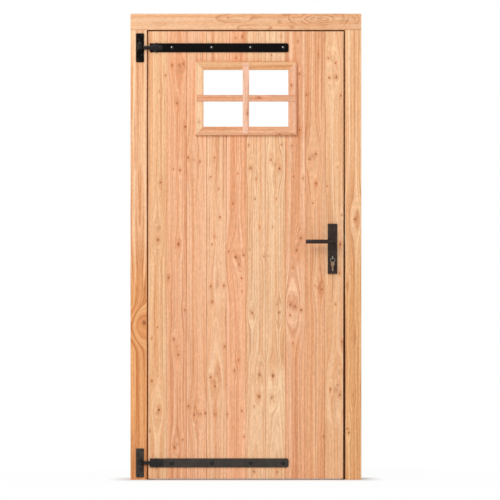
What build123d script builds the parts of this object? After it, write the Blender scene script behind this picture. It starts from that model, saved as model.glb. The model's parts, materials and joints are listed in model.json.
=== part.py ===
from build123d import *
import math
import os

# Ledged door in its frame, in millimetres.
# X runs across the door with the hinges at -X, Y runs from the outside to the inside, Z is up.
# The origin lies on the floor, midway between the jambs and midway through the boards.

# Boards of the leaf
WHOLE_BOARDS = 8
BOARD_PITCH = 89.0
EDGE_BOARD_WIDTH = 84.0
BOARD_THICKNESS = 28.0
BOARD_ARRIS = 1.1
BOARD_JOINT = 0.4
TONGUE_LENGTH = 7.0
TONGUE_THICKNESS = 8.0
TONGUE_CLEARANCE = 0.3
LEAF_HEIGHT = 2015.0

# Frame
FRAME_FACE = 74.0
FRAME_DEPTH = 67.0
FRAME_ARRIS = 2.0
STOP_WIDTH = 16.0
STOP_CLEARANCE = 1.5
SIDE_GAP = 6.0
TOP_GAP = 6.0
FLOOR_GAP = 5.0
TENON_WIDTH = 44.0
TENON_THICKNESS = 22.0
TENON_LENGTH = 50.0
TENON_CLEARANCE = 0.2
TENON_END_CLEARANCE = 2.0

# Ledges across the back
LEDGE_HEIGHT = 115.0
LEDGE_THICKNESS = 30.0
LEDGE_BEVEL = 8.0
LEDGE_END_CLEARANCE = 10.0
UPPER_STRAP_DROP = 74.0
LOWER_STRAP_RISE = 71.0
WINDOW_LEDGE_DROP = 94.0
LOCK_LEDGE_DROP = 170.0
LEDGE_SCREW_HEAD = 9.0
LEDGE_SCREW_SHANK = 4.5
LEDGE_SCREW_LENGTH = 50.0
LEDGE_SCREW_SIDES = 4
LEDGE_SCREW_STAGGER_SHARE = 0.22
LEDGE_SCREW_END_SHARE = 0.25

# Window
WINDOW_WIDTH = 382.0
WINDOW_HEIGHT = 256.0
WINDOW_DROP = 302.0
CASING_WIDTH = 38.0
CASING_THICKNESS = 18.0
CASING_BEVEL_WIDTH = 7.0
CASING_BEVEL_DEPTH = 5.0
CASING_LAP = 12.0
BAR_WIDTH = 28.5
BAR_PROUD = 2.0
BAR_END_THICKNESS = 10.0
GLASS_THICKNESS = 4.0
GLASS_CLEARANCE = 2.0
BEAD_WIDTH = 11.0
BEAD_CHAMFER = 5.0

# Strap hinges
STRAP_INSET = 7.0
STRAP_LENGTH = 625.0
STRAP_HEIGHT = 40.0
STRAP_THICKNESS = 5.0
STRAP_CORNER = 6.0
STRAP_BOLT_SHARES = (0.160, 0.447, 0.727, 0.962)
HINGE_PLATE_WIDTH = 36.0
HINGE_PLATE_HEIGHT = 130.0
HINGE_PLATE_THICKNESS = 4.5
HINGE_PLATE_CORNER = 3.0
HINGE_SCREW_SHARES = ((0.19, 0.43), (-0.19, 0.29), (0.19, -0.25), (-0.19, -0.42))
HINGE_SCREW_HEAD = 8.4
HINGE_SCREW_SHANK = 4.6
HINGE_SCREW_LENGTH = 40.0
PIN_INSET = 31.0
PIN_DIAMETER = 14.0
PIN_CLEARANCE = 0.06
PIN_COLLAR_DIAMETER = 21.0
PIN_COLLAR_HEIGHT = 8.0
PIN_DOME_DIAMETER = 17.0
PIN_DOME_HEIGHT = 13.0
EYE_DIAMETER = 25.0
EYE_HEIGHT = 16.5
EYE_PLAY = 0.3
LUG_WIDTH = 20.0
LUG_HEIGHT = 11.0
EYE_BAR_THICKNESS = 5.0
FLARE_LENGTH = 33.0
FLARE_HEIGHT = 46.0
TAIL_LENGTH = 27.0
TAIL_HEIGHT = 26.0
TAIL_CORNER = 6.0
RIVET_DIAMETER = 8.0
RIVET_HEAD_DIAMETER = 13.0
RIVET_HEAD_HEIGHT = 3.5
BOLT_DIAMETER = 8.0
BOLT_CLEARANCE = 0.2
BOLT_HEAD_DIAMETER = 19.0
BOLT_HEAD_HEIGHT = 5.0
BOLT_END = 3.0
NUT_WIDTH = 13.0
NUT_SIDES = 6
NUT_HEIGHT = 7.0

# Handle set
BACKSET = 50.0
SPINDLE_RISE_SHARE = 0.53
CYLINDER_DROP = 72.0
HANDLE_PLATE_WIDTH = 42.0
HANDLE_PLATE_HEIGHT = 225.0
HANDLE_PLATE_THICKNESS = 8.0
HANDLE_PLATE_CHAMFER = 1.5
HANDLE_PLATE_DROP = 32.5
LEVER_DIAMETER = 18.5
LEVER_REACH = 121.0
LEVER_OVERHANG = 14.0
LEVER_PROJECTION = 48.0
LEVER_CHAMFER = 1.0
NECK_DIAMETER = 16.0
NECK_CLEARANCE = 0.06
NECK_SEAT = 6.0
SPINDLE_SIZE = 8.0
SPINDLE_CLEARANCE = 0.1
SPINDLE_SOCKET = 30.0
PLATE_BOLT_SPACING = 196.0
PLATE_BOLT_DIAMETER = 5.0
PLATE_BOLT_HEAD = 9.0
PLATE_BOLT_HEAD_HEIGHT = 3.0
PLATE_BOLT_SEAT = 4.0

# Mortise lock
CASE_DEPTH = 72.0
CASE_THICKNESS = 14.0
CASE_WALL = 1.5
CASE_ABOVE_SPINDLE = 42.0
CASE_BELOW_CYLINDER = 33.0
MORTISE_CLEARANCE = 0.5
FOREND_WIDTH = 20.0
FOREND_HEIGHT = 235.0
FOREND_THICKNESS = 3.0
FOREND_SCREW_INSET = 11.5
FOREND_SCREW_SPACING = FOREND_HEIGHT - 2 * FOREND_SCREW_INSET
LOCK_PLAY = 0.3
FOLLOWER_DIAMETER = 18.0
FOLLOWER_ARM_LENGTH = 19.0
FOLLOWER_ARM_WIDTH = 6.0
LATCH_RISE = 6.0
LATCH_HEIGHT = 24.0
LATCH_HEAD_LENGTH = 35.0
LATCH_PROJECTION = 13.0
LATCH_NOSE = 2.5
LATCH_TAIL_HEIGHT = 10.0
LATCH_TAIL_THICKNESS = 6.0
LATCH_LEG_WIDTH = 4.0
LATCH_LEG_GAP = 2.0
LATCH_LEG_RISE = 13.0
DEAD_BOLT_DROP = 26.0
DEAD_BOLT_HEIGHT = 28.0
DEAD_BOLT_LENGTH = 44.0
DEAD_BOLT_THROW = 20.0
DEAD_BOLT_RECESS = 0.5
SMALL_SCREW_HEAD = 7.6
SMALL_SCREW_SHANK = 3.8
SMALL_SCREW_LENGTH = 28.0

# Lock cylinder and keys
CYLINDER_DIAMETER = 17.0
CYLINDER_LEG_WIDTH = 10.0
CYLINDER_HEIGHT = 33.0
CYLINDER_PROUD = 2.0
CYLINDER_CLEARANCE = 0.4
PLUG_DIAMETER = 12.8
PLUG_CLEARANCE = 0.06
CAM_WIDTH = 9.6
CAM_RADIUS = 14.0
CAM_NOSE_WIDTH = 8.0
CAM_CLEARANCE = 0.4
CYLINDER_SCREW_DIAMETER = 5.0
CYLINDER_SCREW_HEAD = 8.0
CYLINDER_SCREW_DROP = 20.5
KEY_THICKNESS = 2.2
KEY_BLADE_HEIGHT = 8.0
KEY_BLADE_LENGTH = 26.0
KEY_CLEARANCE = 0.2
KEY_SHANK_LENGTH = 4.0
KEY_BOW_DIAMETER = 23.0
KEY_HOLE_DIAMETER = 6.4
KEY_HOLE_OFFSET = 5.6
KEY_BITTING_DEPTH = 2.0
KEY_BITTING_SHARES = (0.25, 0.45, 0.65, 0.85)
RING_DIAMETER = 20.0
RING_WIRE = 1.8
RING_PLAY = 0.6
SPARE_PLAY = 1.0
SPARE_BLADE_LENGTH = 16.0
SPARE_TURN = 40.0

# Strike plate in the lock jamb
STRIKE_WIDTH = 22.0
STRIKE_THICKNESS = 2.0
STRIKE_MARGIN = 20.0
STRIKE_CLEARANCE = 2.0
POCKET_END_CLEARANCE = 3.0

# Small round pieces and hidden holes are many sided, to keep the faces few
FASTENER_SIDES = 6
HEAD_SIDES = 10
RING_SIDES = 16
HEAD_STEP_SHARES = ((1.0, 0.0), (0.78, 0.62), (0.36, 1.0))

# One overrun serves all through cuts
OVERRUN = 5.0

# Places worked out from the sizes above
LEAF_WIDTH = WHOLE_BOARDS * BOARD_PITCH + 2 * EDGE_BOARD_WIDTH
LEAF_EDGE = LEAF_WIDTH / 2
LEAF_TOP = FLOOR_GAP + LEAF_HEIGHT
FRONT = -BOARD_THICKNESS / 2
BACK = BOARD_THICKNESS / 2
REBATE_EDGE = LEAF_EDGE + SIDE_GAP
STOP_EDGE = REBATE_EDGE - STOP_WIDTH
STOP_FACE = BACK + STOP_CLEARANCE
FRAME_EDGE = REBATE_EDGE + FRAME_FACE
FRAME_BACK = FRONT + FRAME_DEPTH
HEAD_BOTTOM = LEAF_TOP + TOP_GAP
HEAD_STOP = HEAD_BOTTOM - STOP_WIDTH
FRAME_TOP = HEAD_BOTTOM + FRAME_FACE
LEDGE_BACK = BACK + LEDGE_THICKNESS
LEDGE_END = STOP_EDGE - LEDGE_END_CLEARANCE
UPPER_STRAP_Z = LEAF_TOP - UPPER_STRAP_DROP
LOWER_STRAP_Z = FLOOR_GAP + LOWER_STRAP_RISE
WINDOW_Z = LEAF_TOP - WINDOW_DROP
WINDOW_X = WINDOW_WIDTH / 2
WINDOW_HALF = WINDOW_HEIGHT / 2
CUT_X = WINDOW_X + CASING_LAP
CUT_HALF = WINDOW_HALF + CASING_LAP
CASING_FACE = FRONT - CASING_THICKNESS
BAR_FACE = CASING_FACE - BAR_PROUD
GLASS_BACK = FRONT + GLASS_THICKNESS
STRAP_START = -LEAF_EDGE + STRAP_INSET
STRAP_FACE = FRONT - STRAP_THICKNESS
EYE_BAR_FACE = STRAP_FACE - EYE_BAR_THICKNESS
PIN_X = -REBATE_EDGE - PIN_INSET
PIN_Y = STRAP_FACE - EYE_DIAMETER / 2
FLARE_END = STRAP_START + FLARE_LENGTH
TAIL_END = FLARE_END + TAIL_LENGTH
HANDLE_X = LEAF_EDGE - BACKSET
SPINDLE_Z = FLOOR_GAP + SPINDLE_RISE_SHARE * LEAF_HEIGHT
CYLINDER_Z = SPINDLE_Z - CYLINDER_DROP
HANDLE_PLATE_Z = SPINDLE_Z - HANDLE_PLATE_DROP
PLATE_FACE = FRONT - HANDLE_PLATE_THICKNESS
LEVER_Y = PLATE_FACE - LEVER_PROJECTION
CASE_FRONT = LEAF_EDGE - FOREND_THICKNESS
CASE_BACK = CASE_FRONT - CASE_DEPTH
CASE_TOP = SPINDLE_Z + CASE_ABOVE_SPINDLE
CASE_BOTTOM = CYLINDER_Z - CASE_BELOW_CYLINDER
CASE_INSIDE = CASE_THICKNESS / 2 - CASE_WALL
LATCH_BOTTOM = SPINDLE_Z + LATCH_RISE
LATCH_TOP = LATCH_BOTTOM + LATCH_HEIGHT
DEAD_BOLT_TOP = SPINDLE_Z - DEAD_BOLT_DROP
DEAD_BOLT_BOTTOM = DEAD_BOLT_TOP - DEAD_BOLT_HEIGHT
LOCK_BOLT_HALF = CASE_INSIDE - LOCK_PLAY
CYLINDER_FACE = PLATE_FACE - CYLINDER_PROUD
BOW_Y = CYLINDER_FACE - KEY_SHANK_LENGTH - KEY_BOW_DIAMETER / 2
KEY_HOLE_Y = BOW_Y - KEY_HOLE_OFFSET
RING_TOP = CYLINDER_Z - KEY_HOLE_DIAMETER / 2 + RING_PLAY + RING_WIRE / 2
RING_Z = RING_TOP - RING_DIAMETER / 2
SPARE_HOLE_Z = RING_Z - RING_DIAMETER / 2 + RING_WIRE / 2 + SPARE_PLAY - KEY_HOLE_DIAMETER / 2


# Shapes used by several pieces

def block(x0, x1, y0, y1, z0, z1):
    """Box between two opposite corners."""
    box = Box(x1 - x0, y1 - y0, z1 - z0)
    return Pos((x0 + x1) / 2, (y0 + y1) / 2, (z0 + z1) / 2) * box


def face_of(points):
    return make_face(Polyline(*points, close=True))


def along_x(face, x0, x1):
    """Extrude an outline drawn in (y, z)."""
    return Pos(x0, 0, 0) * extrude(Plane.YZ * face, amount=x1 - x0)


def along_y(face, y0, y1):
    """Extrude an outline drawn in (x, z)."""
    return Pos(0, y1, 0) * extrude(Plane.XZ * face, amount=y1 - y0)


def along_z(face, z0, z1):
    """Extrude an outline drawn in (x, y)."""
    return Pos(0, 0, z0) * extrude(face, amount=z1 - z0)


def rod_y(x, z, diameter, y0, y1):
    rod = Rot(90, 0, 0) * Cylinder(diameter / 2, y1 - y0)
    return Pos(x, (y0 + y1) / 2, z) * rod


def sided_rod_y(x, z, diameter, sides, y0, y1):
    """Prism along Y whose corners lie on the diameter."""
    return along_y(Pos(x, z) * RegularPolygon(diameter / 2, sides), y0, y1)


def frustum(low_diameter, high_diameter, height, sides):
    """Flat sided step on the ground plane that narrows upwards."""
    narrowing = math.cos(math.pi / sides) * (low_diameter - high_diameter) / 2
    slope = math.degrees(math.atan2(narrowing, height))
    return extrude(RegularPolygon(low_diameter / 2, sides), amount=height, taper=slope)


def domed_head(diameter, height):
    """Low stepped dome on the ground plane."""
    steps = []
    for (wide, low), (narrow, high) in zip(HEAD_STEP_SHARES[:-1], HEAD_STEP_SHARES[1:]):
        step = frustum(wide * diameter, narrow * diameter, (high - low) * height, HEAD_SIDES)
        steps.append(Pos(0, 0, low * height) * step)
    return steps[0] + steps[1:]


def countersunk_screw(head, shank, length, sides):
    """Screw with its head flush at the ground plane and its shank along -Z."""
    depth = (head - shank) / 2
    cone = mirror(frustum(head, shank, depth, sides), Plane.XY)
    body = Pos(0, 0, -length) * extrude(RegularPolygon(shank / 2, sides), amount=length - depth)
    return cone + body


def group(pieces):
    """Separate solids that share a node."""
    return Compound([solid for piece in pieces for solid in piece.solids()])


# Frame

def jamb_section():
    """Rebated section of the hinge jamb, with the stop at its back."""
    points = [(-FRAME_EDGE, FRONT), (-REBATE_EDGE, FRONT), (-REBATE_EDGE, STOP_FACE)]
    points += [(-STOP_EDGE, STOP_FACE), (-STOP_EDGE, FRAME_BACK), (-FRAME_EDGE, FRAME_BACK)]
    section = face_of(points)
    inner_corner = section.vertices().sort_by_distance((-REBATE_EDGE, STOP_FACE, 0))[0]
    return chamfer([v for v in section.vertices() if v != inner_corner], FRAME_ARRIS)


def tenon(clearance, end_clearance):
    """Tenon at the top of the hinge jamb, or with clearance the mortise for it."""
    middle_x = -(REBATE_EDGE + FRAME_FACE / 2)
    middle_y = FRONT + FRAME_DEPTH / 2
    half_width = TENON_WIDTH / 2 + clearance
    half_depth = TENON_THICKNESS / 2 + clearance
    top = HEAD_BOTTOM + TENON_LENGTH + end_clearance
    return block(middle_x - half_width, middle_x + half_width,
                 middle_y - half_depth, middle_y + half_depth, HEAD_STOP, top)


def hinge_jamb():
    jamb = along_z(jamb_section(), 0, HEAD_BOTTOM)
    under_stop = block(-FRAME_EDGE, -STOP_EDGE, STOP_FACE, FRAME_BACK, HEAD_STOP, HEAD_BOTTOM)
    return jamb - under_stop + tenon(0, 0)


def bolt_pockets():
    """Pockets behind the strike plate for the latch and the dead bolt."""
    latch_end = LEAF_EDGE + LATCH_PROJECTION + POCKET_END_CLEARANCE
    dead_end = LEAF_EDGE + DEAD_BOLT_THROW + POCKET_END_CLEARANCE
    half = LOCK_BOLT_HALF + STRIKE_CLEARANCE
    latch = block(REBATE_EDGE, latch_end, -half, half,
                  LATCH_BOTTOM - STRIKE_CLEARANCE, LATCH_TOP + STRIKE_CLEARANCE)
    dead = block(REBATE_EDGE, dead_end, -half, half,
                 DEAD_BOLT_BOTTOM - STRIKE_CLEARANCE, DEAD_BOLT_TOP + STRIKE_CLEARANCE)
    return latch + dead


def strike_blank():
    return block(REBATE_EDGE, REBATE_EDGE + STRIKE_THICKNESS, -STRIKE_WIDTH / 2, STRIKE_WIDTH / 2,
                 DEAD_BOLT_BOTTOM - STRIKE_MARGIN, LATCH_TOP + STRIKE_MARGIN)


def small_screw():
    return countersunk_screw(SMALL_SCREW_HEAD, SMALL_SCREW_SHANK, SMALL_SCREW_LENGTH, FASTENER_SIDES)


def strike_screws():
    screw = Rot(0, -90, 0) * small_screw()
    heights = (DEAD_BOLT_BOTTOM - STRIKE_MARGIN / 2, LATCH_TOP + STRIKE_MARGIN / 2)
    return [Pos(REBATE_EDGE, 0, z) * screw for z in heights]


def lock_jamb():
    jamb = mirror(hinge_jamb(), Plane.YZ)
    return jamb - strike_blank() - bolt_pockets()


def strike_plate():
    plate = strike_blank() - bolt_pockets()
    for screw in strike_screws():
        plate -= screw
    return plate


def frame_head():
    points = [(FRONT, HEAD_BOTTOM), (FRONT, FRAME_TOP), (FRAME_BACK, FRAME_TOP)]
    points += [(FRAME_BACK, HEAD_STOP), (STOP_FACE, HEAD_STOP), (STOP_FACE, HEAD_BOTTOM)]
    section = face_of(points)
    inner_corner = section.vertices().sort_by_distance((STOP_FACE, HEAD_BOTTOM, 0))[0]
    section = chamfer([v for v in section.vertices() if v != inner_corner], FRAME_ARRIS)
    head = along_x(section, -FRAME_EDGE, FRAME_EDGE)
    mortise = tenon(TENON_CLEARANCE, TENON_END_CLEARANCE)
    return head - mortise - mirror(mortise, Plane.YZ)


# Leaf: what is cut through the boards

def strap_bolt_places():
    """Bolt centres in (x, z) on both straps."""
    return [(STRAP_START + share * STRAP_LENGTH, z)
            for z in (UPPER_STRAP_Z, LOWER_STRAP_Z) for share in STRAP_BOLT_SHARES]


def bolt_hole(x, z):
    size = BOLT_DIAMETER + 2 * BOLT_CLEARANCE
    return sided_rod_y(x, z, size, FASTENER_SIDES, FRONT - OVERRUN, LEDGE_BACK + OVERRUN)


def cylinder_section(clearance):
    """Round top and narrow leg of the lock cylinder, drawn in (x, z)."""
    round_part = Pos(HANDLE_X, CYLINDER_Z) * RegularPolygon(CYLINDER_DIAMETER / 2 + clearance, RING_SIDES)
    leg_half = CYLINDER_LEG_WIDTH / 2 + clearance
    leg_bottom = CYLINDER_Z + CYLINDER_DIAMETER / 2 - CYLINDER_HEIGHT - clearance
    leg = Pos(HANDLE_X, (CYLINDER_Z + leg_bottom) / 2) * Rectangle(2 * leg_half, CYLINDER_Z - leg_bottom)
    return round_part + leg


def hub_hole(y0, y1):
    """Hole in which the follower's hub or the lever's neck turns freely."""
    half = max(FOLLOWER_DIAMETER, NECK_DIAMETER) / 2 + LOCK_PLAY
    return along_y(Pos(HANDLE_X, SPINDLE_Z) * RegularPolygon(half, HEAD_SIDES, major_radius=False), y0, y1)


def lock_cuts():
    """Everything that the lock and the handle set need out of the lock side board."""
    half = CASE_THICKNESS / 2 + MORTISE_CLEARANCE
    mortise = block(CASE_BACK - MORTISE_CLEARANCE, CASE_FRONT, -half, half,
                    CASE_BOTTOM - MORTISE_CLEARANCE, CASE_TOP + MORTISE_CLEARANCE)
    cuts = [mortise, forend_blank()]
    cylinder_half = CYLINDER_DIAMETER / 2 + MORTISE_CLEARANCE
    cylinder_low = CYLINDER_Z + CYLINDER_DIAMETER / 2 - CYLINDER_HEIGHT - MORTISE_CLEARANCE
    cuts.append(block(HANDLE_X - cylinder_half, HANDLE_X + cylinder_half, FRONT - OVERRUN, BACK + OVERRUN,
                      cylinder_low, CYLINDER_Z + cylinder_half))
    cuts.append(hub_hole(FRONT - OVERRUN, BACK + OVERRUN))
    for z in plate_bolt_heights():
        hole = PLATE_BOLT_DIAMETER + 2 * BOLT_CLEARANCE
        cuts.append(sided_rod_y(HANDLE_X, z, hole, FASTENER_SIDES, FRONT - OVERRUN, BACK + OVERRUN))
    return cuts


# Leaf: boards

def board_edges():
    """Left and right edge of each board across the leaf."""
    inner = [(k - WHOLE_BOARDS / 2) * BOARD_PITCH for k in range(WHOLE_BOARDS + 1)]
    joints = [-LEAF_EDGE] + inner + [LEAF_EDGE]
    return list(zip(joints[:-1], joints[1:]))


def board_section(left, right):
    """Board with a tongue on its left and a groove on its right, plain at the edges of the leaf."""
    tongued = left > -LEAF_EDGE
    grooved = right < LEAF_EDGE
    x0 = left + BOARD_JOINT / 2 if tongued else left
    x1 = right - BOARD_JOINT / 2 if grooved else right
    a = BOARD_ARRIS
    half_tongue = TONGUE_THICKNESS / 2
    half_groove = half_tongue + TONGUE_CLEARANCE
    groove_end = x1 - TONGUE_LENGTH + BOARD_JOINT - TONGUE_CLEARANCE
    points = [(x0 + a, FRONT), (x1 - a, FRONT), (x1, FRONT + a)]
    if grooved:
        points += [(x1, -half_groove), (groove_end, -half_groove)]
        points += [(groove_end, half_groove), (x1, half_groove)]
    points += [(x1, BACK - a), (x1 - a, BACK), (x0 + a, BACK), (x0, BACK - a)]
    if tongued:
        tip = x0 - TONGUE_LENGTH
        points += [(x0, half_tongue), (tip, half_tongue), (tip, -half_tongue), (x0, -half_tongue)]
    points += [(x0, FRONT + a)]
    return face_of(points)


def boards():
    """Each board as its lower length and, over the window, its upper one."""
    window = block(-CUT_X, CUT_X, FRONT - OVERRUN, BACK + OVERRUN, WINDOW_Z - CUT_HALF, WINDOW_Z + CUT_HALF)
    lengths = []
    for left, right in board_edges():
        board = along_z(board_section(left, right), FLOOR_GAP, LEAF_TOP)
        reach = TONGUE_LENGTH + BOLT_DIAMETER
        if left - reach < CUT_X and right + reach > -CUT_X:
            board -= window
        for x, z in strap_bolt_places():
            if left - reach < x < right + reach:
                board -= bolt_hole(x, z)
        if right + reach > CASE_BACK:
            for cut in lock_cuts():
                board -= cut
        lengths.append(board.solids().sort_by(Axis.Z))
    return lengths


# Leaf: ledges

def ledge_heights():
    """Middle height of each ledge by name."""
    casing_bottom = WINDOW_Z - WINDOW_HALF - CASING_WIDTH
    return {
        "top_ledge": UPPER_STRAP_Z,
        "window_ledge": casing_bottom - WINDOW_LEDGE_DROP,
        "lock_ledge": HANDLE_PLATE_Z - HANDLE_PLATE_HEIGHT / 2 - LOCK_LEDGE_DROP,
        "bottom_ledge": LOWER_STRAP_Z,
    }


def ledge(z):
    low = z - LEDGE_HEIGHT / 2
    high = z + LEDGE_HEIGHT / 2
    slope = LEDGE_BACK - LEDGE_BEVEL
    points = [(BACK, low), (BACK, high), (slope, high), (LEDGE_BACK, high - LEDGE_BEVEL)]
    points += [(LEDGE_BACK, low + LEDGE_BEVEL), (slope, low)]
    bar = along_x(face_of(points), -LEDGE_END, LEDGE_END)
    for x, bolt_z in strap_bolt_places():
        if low < bolt_z < high:
            bar -= bolt_hole(x, bolt_z)
    return bar


def ledge_screws():
    """One screw through each ledge into each board, high and low by turns."""
    screw = countersunk_screw(LEDGE_SCREW_HEAD, LEDGE_SCREW_SHANK, LEDGE_SCREW_LENGTH, LEDGE_SCREW_SIDES)
    screw = Rot(-90, 0, 0) * screw
    furthest = LEDGE_END - LEDGE_SCREW_END_SHARE * LEDGE_HEIGHT
    placed = []
    for z in ledge_heights().values():
        for number, (left, right) in enumerate(board_edges()):
            x = max(-furthest, min(furthest, (left + right) / 2))
            rise = LEDGE_SCREW_STAGGER_SHARE * LEDGE_HEIGHT * (-1) ** number
            placed.append(Pos(x, LEDGE_BACK, z + rise) * screw)
    return placed


# Leaf: window

def casing_section():
    """Casing in (inward distance from its outer edge, y), with the outer edge bevelled."""
    return [(0, FRONT), (0, CASING_FACE + CASING_BEVEL_DEPTH), (CASING_BEVEL_WIDTH, CASING_FACE),
            (CASING_WIDTH, CASING_FACE), (CASING_WIDTH, FRONT)]


def casing_pieces():
    """Four mitred pieces, housed for the ends of the bars."""
    out_x = WINDOW_X + CASING_WIDTH
    out_z = WINDOW_HALF + CASING_WIDTH
    bottom_section = face_of([(y, WINDOW_Z - out_z + d) for d, y in casing_section()])
    left_section = face_of([(-out_x + d, y) for d, y in casing_section()])
    bottom = along_x(bottom_section, -out_x, out_x)
    left = along_z(left_section, WINDOW_Z - out_z, WINDOW_Z + out_z)
    low = WINDOW_Z - out_z
    inner_low = WINDOW_Z - WINDOW_HALF
    bottom_outline = face_of([(-out_x, low), (out_x, low), (WINDOW_X, inner_low), (-WINDOW_X, inner_low)])
    left_outline = face_of([(-out_x, low), (-WINDOW_X, inner_low),
                            (-WINDOW_X, WINDOW_Z + WINDOW_HALF), (-out_x, WINDOW_Z + out_z)])
    bottom &= along_y(bottom_outline, CASING_FACE, FRONT)
    left &= along_y(left_outline, CASING_FACE, FRONT)
    middle = Plane.XY.offset(WINDOW_Z)
    pieces = {
        "casing_bottom": bottom,
        "casing_top": mirror(bottom, middle),
        "casing_left": left,
        "casing_right": mirror(left, Plane.YZ),
    }
    ends = bar_ends()
    return {name: piece - ends["upright"] - ends["level"] for name, piece in pieces.items()}


def bar_ends():
    """Thin lengths of the two bars that lie in the housings of the casing."""
    reach = CASING_WIDTH - CASING_BEVEL_WIDTH
    half = BAR_WIDTH / 2
    back = BAR_FACE + BAR_END_THICKNESS
    upright = block(-half, half, BAR_FACE, back,
                    WINDOW_Z - WINDOW_HALF - reach, WINDOW_Z + WINDOW_HALF + reach)
    level = block(-WINDOW_X - reach, WINDOW_X + reach, BAR_FACE, back, WINDOW_Z - half, WINDOW_Z + half)
    return {"upright": upright, "level": level}


def window_bars():
    """Upright and level bar, half lapped where they cross."""
    half = BAR_WIDTH / 2
    middle = (BAR_FACE + FRONT) / 2
    upright = block(-half, half, BAR_FACE, FRONT, WINDOW_Z - WINDOW_HALF, WINDOW_Z + WINDOW_HALF)
    level = block(-WINDOW_X, WINDOW_X, BAR_FACE, FRONT, WINDOW_Z - half, WINDOW_Z + half)
    ends = bar_ends()
    back_lap = block(-half, half, middle, FRONT, WINDOW_Z - half, WINDOW_Z + half)
    front_lap = block(-half, half, BAR_FACE, middle, WINDOW_Z - half, WINDOW_Z + half)
    return upright + ends["upright"] - back_lap, level + ends["level"] - front_lap


def glass_pane():
    x = CUT_X - GLASS_CLEARANCE
    half = CUT_HALF - GLASS_CLEARANCE
    return block(-x, x, FRONT, GLASS_BACK, WINDOW_Z - half, WINDOW_Z + half)


def glazing_beads():
    """Four strips behind the glass, chamfered towards the inside."""
    lip = BEAD_WIDTH - BEAD_CHAMFER
    slope = BACK - BEAD_CHAMFER
    section = [(0, GLASS_BACK), (BEAD_WIDTH, GLASS_BACK), (BEAD_WIDTH, slope), (lip, BACK), (0, BACK)]
    bottom = along_x(face_of([(y, WINDOW_Z - CUT_HALF + d) for d, y in section]), -CUT_X, CUT_X)
    side_half = CUT_HALF - BEAD_WIDTH
    side_face = face_of([(-CUT_X + d, y) for d, y in section])
    left = along_z(side_face, WINDOW_Z - side_half, WINDOW_Z + side_half)
    return [bottom, mirror(bottom, Plane.XY.offset(WINDOW_Z)), left, mirror(left, Plane.YZ)]


# Hinges

def hinge_screw_places(z):
    return [(PIN_X + across * HINGE_PLATE_WIDTH, z + up * HINGE_PLATE_HEIGHT)
            for across, up in HINGE_SCREW_SHARES]


def hinge_plate_screws(z):
    screw = countersunk_screw(HINGE_SCREW_HEAD, HINGE_SCREW_SHANK, HINGE_SCREW_LENGTH, FASTENER_SIDES)
    screw = Rot(90, 0, 0) * screw
    return [Pos(x, FRONT - HINGE_PLATE_THICKNESS, screw_z) * screw for x, screw_z in hinge_screw_places(z)]


def pin_foot(z):
    """Sided foot of the pin, which keeps it from turning in the lug."""
    low = z - EYE_HEIGHT / 2 - EYE_PLAY - LUG_HEIGHT
    foot = extrude(RegularPolygon(PIN_DIAMETER / 2, FASTENER_SIDES), amount=LUG_HEIGHT)
    return Pos(PIN_X, PIN_Y, low) * foot


def hinge_plate(z):
    """Plate on the jamb with the lug that carries the pin."""
    outline = Pos(PIN_X, z) * Rectangle(HINGE_PLATE_WIDTH, HINGE_PLATE_HEIGHT)
    outline = chamfer(outline.vertices(), HINGE_PLATE_CORNER)
    plate = along_y(outline, FRONT - HINGE_PLATE_THICKNESS, FRONT)
    lug_top = z - EYE_HEIGHT / 2 - EYE_PLAY
    half = LUG_WIDTH / 2
    root = block(PIN_X - half, PIN_X + half, PIN_Y, FRONT - HINGE_PLATE_THICKNESS,
                 lug_top - LUG_HEIGHT, lug_top)
    nose = extrude(RegularPolygon(half, RING_SIDES), amount=LUG_HEIGHT)
    plate = plate + root + Pos(PIN_X, PIN_Y, lug_top - LUG_HEIGHT) * nose - pin_foot(z)
    for screw in hinge_plate_screws(z):
        plate -= screw
    return plate


def pintle(z):
    """Headed pin dropped through the eye into the lug, with a collar under its domed head."""
    collar_z = z + EYE_HEIGHT / 2 + EYE_PLAY
    collar = extrude(RegularPolygon(PIN_COLLAR_DIAMETER / 2, HEAD_SIDES), amount=PIN_COLLAR_HEIGHT)
    collar = Pos(PIN_X, PIN_Y, collar_z) * collar
    head = Pos(PIN_X, PIN_Y, collar_z + PIN_COLLAR_HEIGHT) * domed_head(PIN_DOME_DIAMETER, PIN_DOME_HEIGHT)
    shank = Pos(PIN_X, PIN_Y, z) * Cylinder(PIN_DIAMETER / 2, EYE_HEIGHT + 2 * EYE_PLAY)
    return pin_foot(z) + shank + collar + head


def rivet_x():
    return (FLARE_END + TAIL_END) / 2


def rivet_shank(z, y0, y1):
    return sided_rod_y(rivet_x(), z, RIVET_DIAMETER, FASTENER_SIDES, y0, y1)


def hinge_eye(z):
    """Rolled eye with a neck that flares out over the strap and ends in a riveted tail."""
    neck = EYE_HEIGHT / 2
    ring = extrude(RegularPolygon(EYE_DIAMETER / 2, RING_SIDES), amount=EYE_HEIGHT)
    ring = Pos(PIN_X, PIN_Y, z - neck) * ring
    wide = FLARE_HEIGHT / 2
    tail = TAIL_HEIGHT / 2
    points = [(PIN_X, z - neck), (STRAP_START, z - neck), (FLARE_END, z - wide), (FLARE_END, z - tail)]
    points += [(TAIL_END, z - tail), (TAIL_END, z + tail)]
    points += [(FLARE_END, z + tail), (FLARE_END, z + wide), (STRAP_START, z + neck), (PIN_X, z + neck)]
    outline = face_of(points)
    ends = outline.vertices().sort_by(Axis.X)[-2:]
    outline = chamfer(ends, TAIL_CORNER)
    bar = along_y(outline, EYE_BAR_FACE, STRAP_FACE)
    bore = Pos(PIN_X, PIN_Y, z) * Cylinder(PIN_DIAMETER / 2 + PIN_CLEARANCE, EYE_HEIGHT + OVERRUN)
    return ring + bar - bore - rivet_shank(z, EYE_BAR_FACE - OVERRUN, FRONT)


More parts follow.
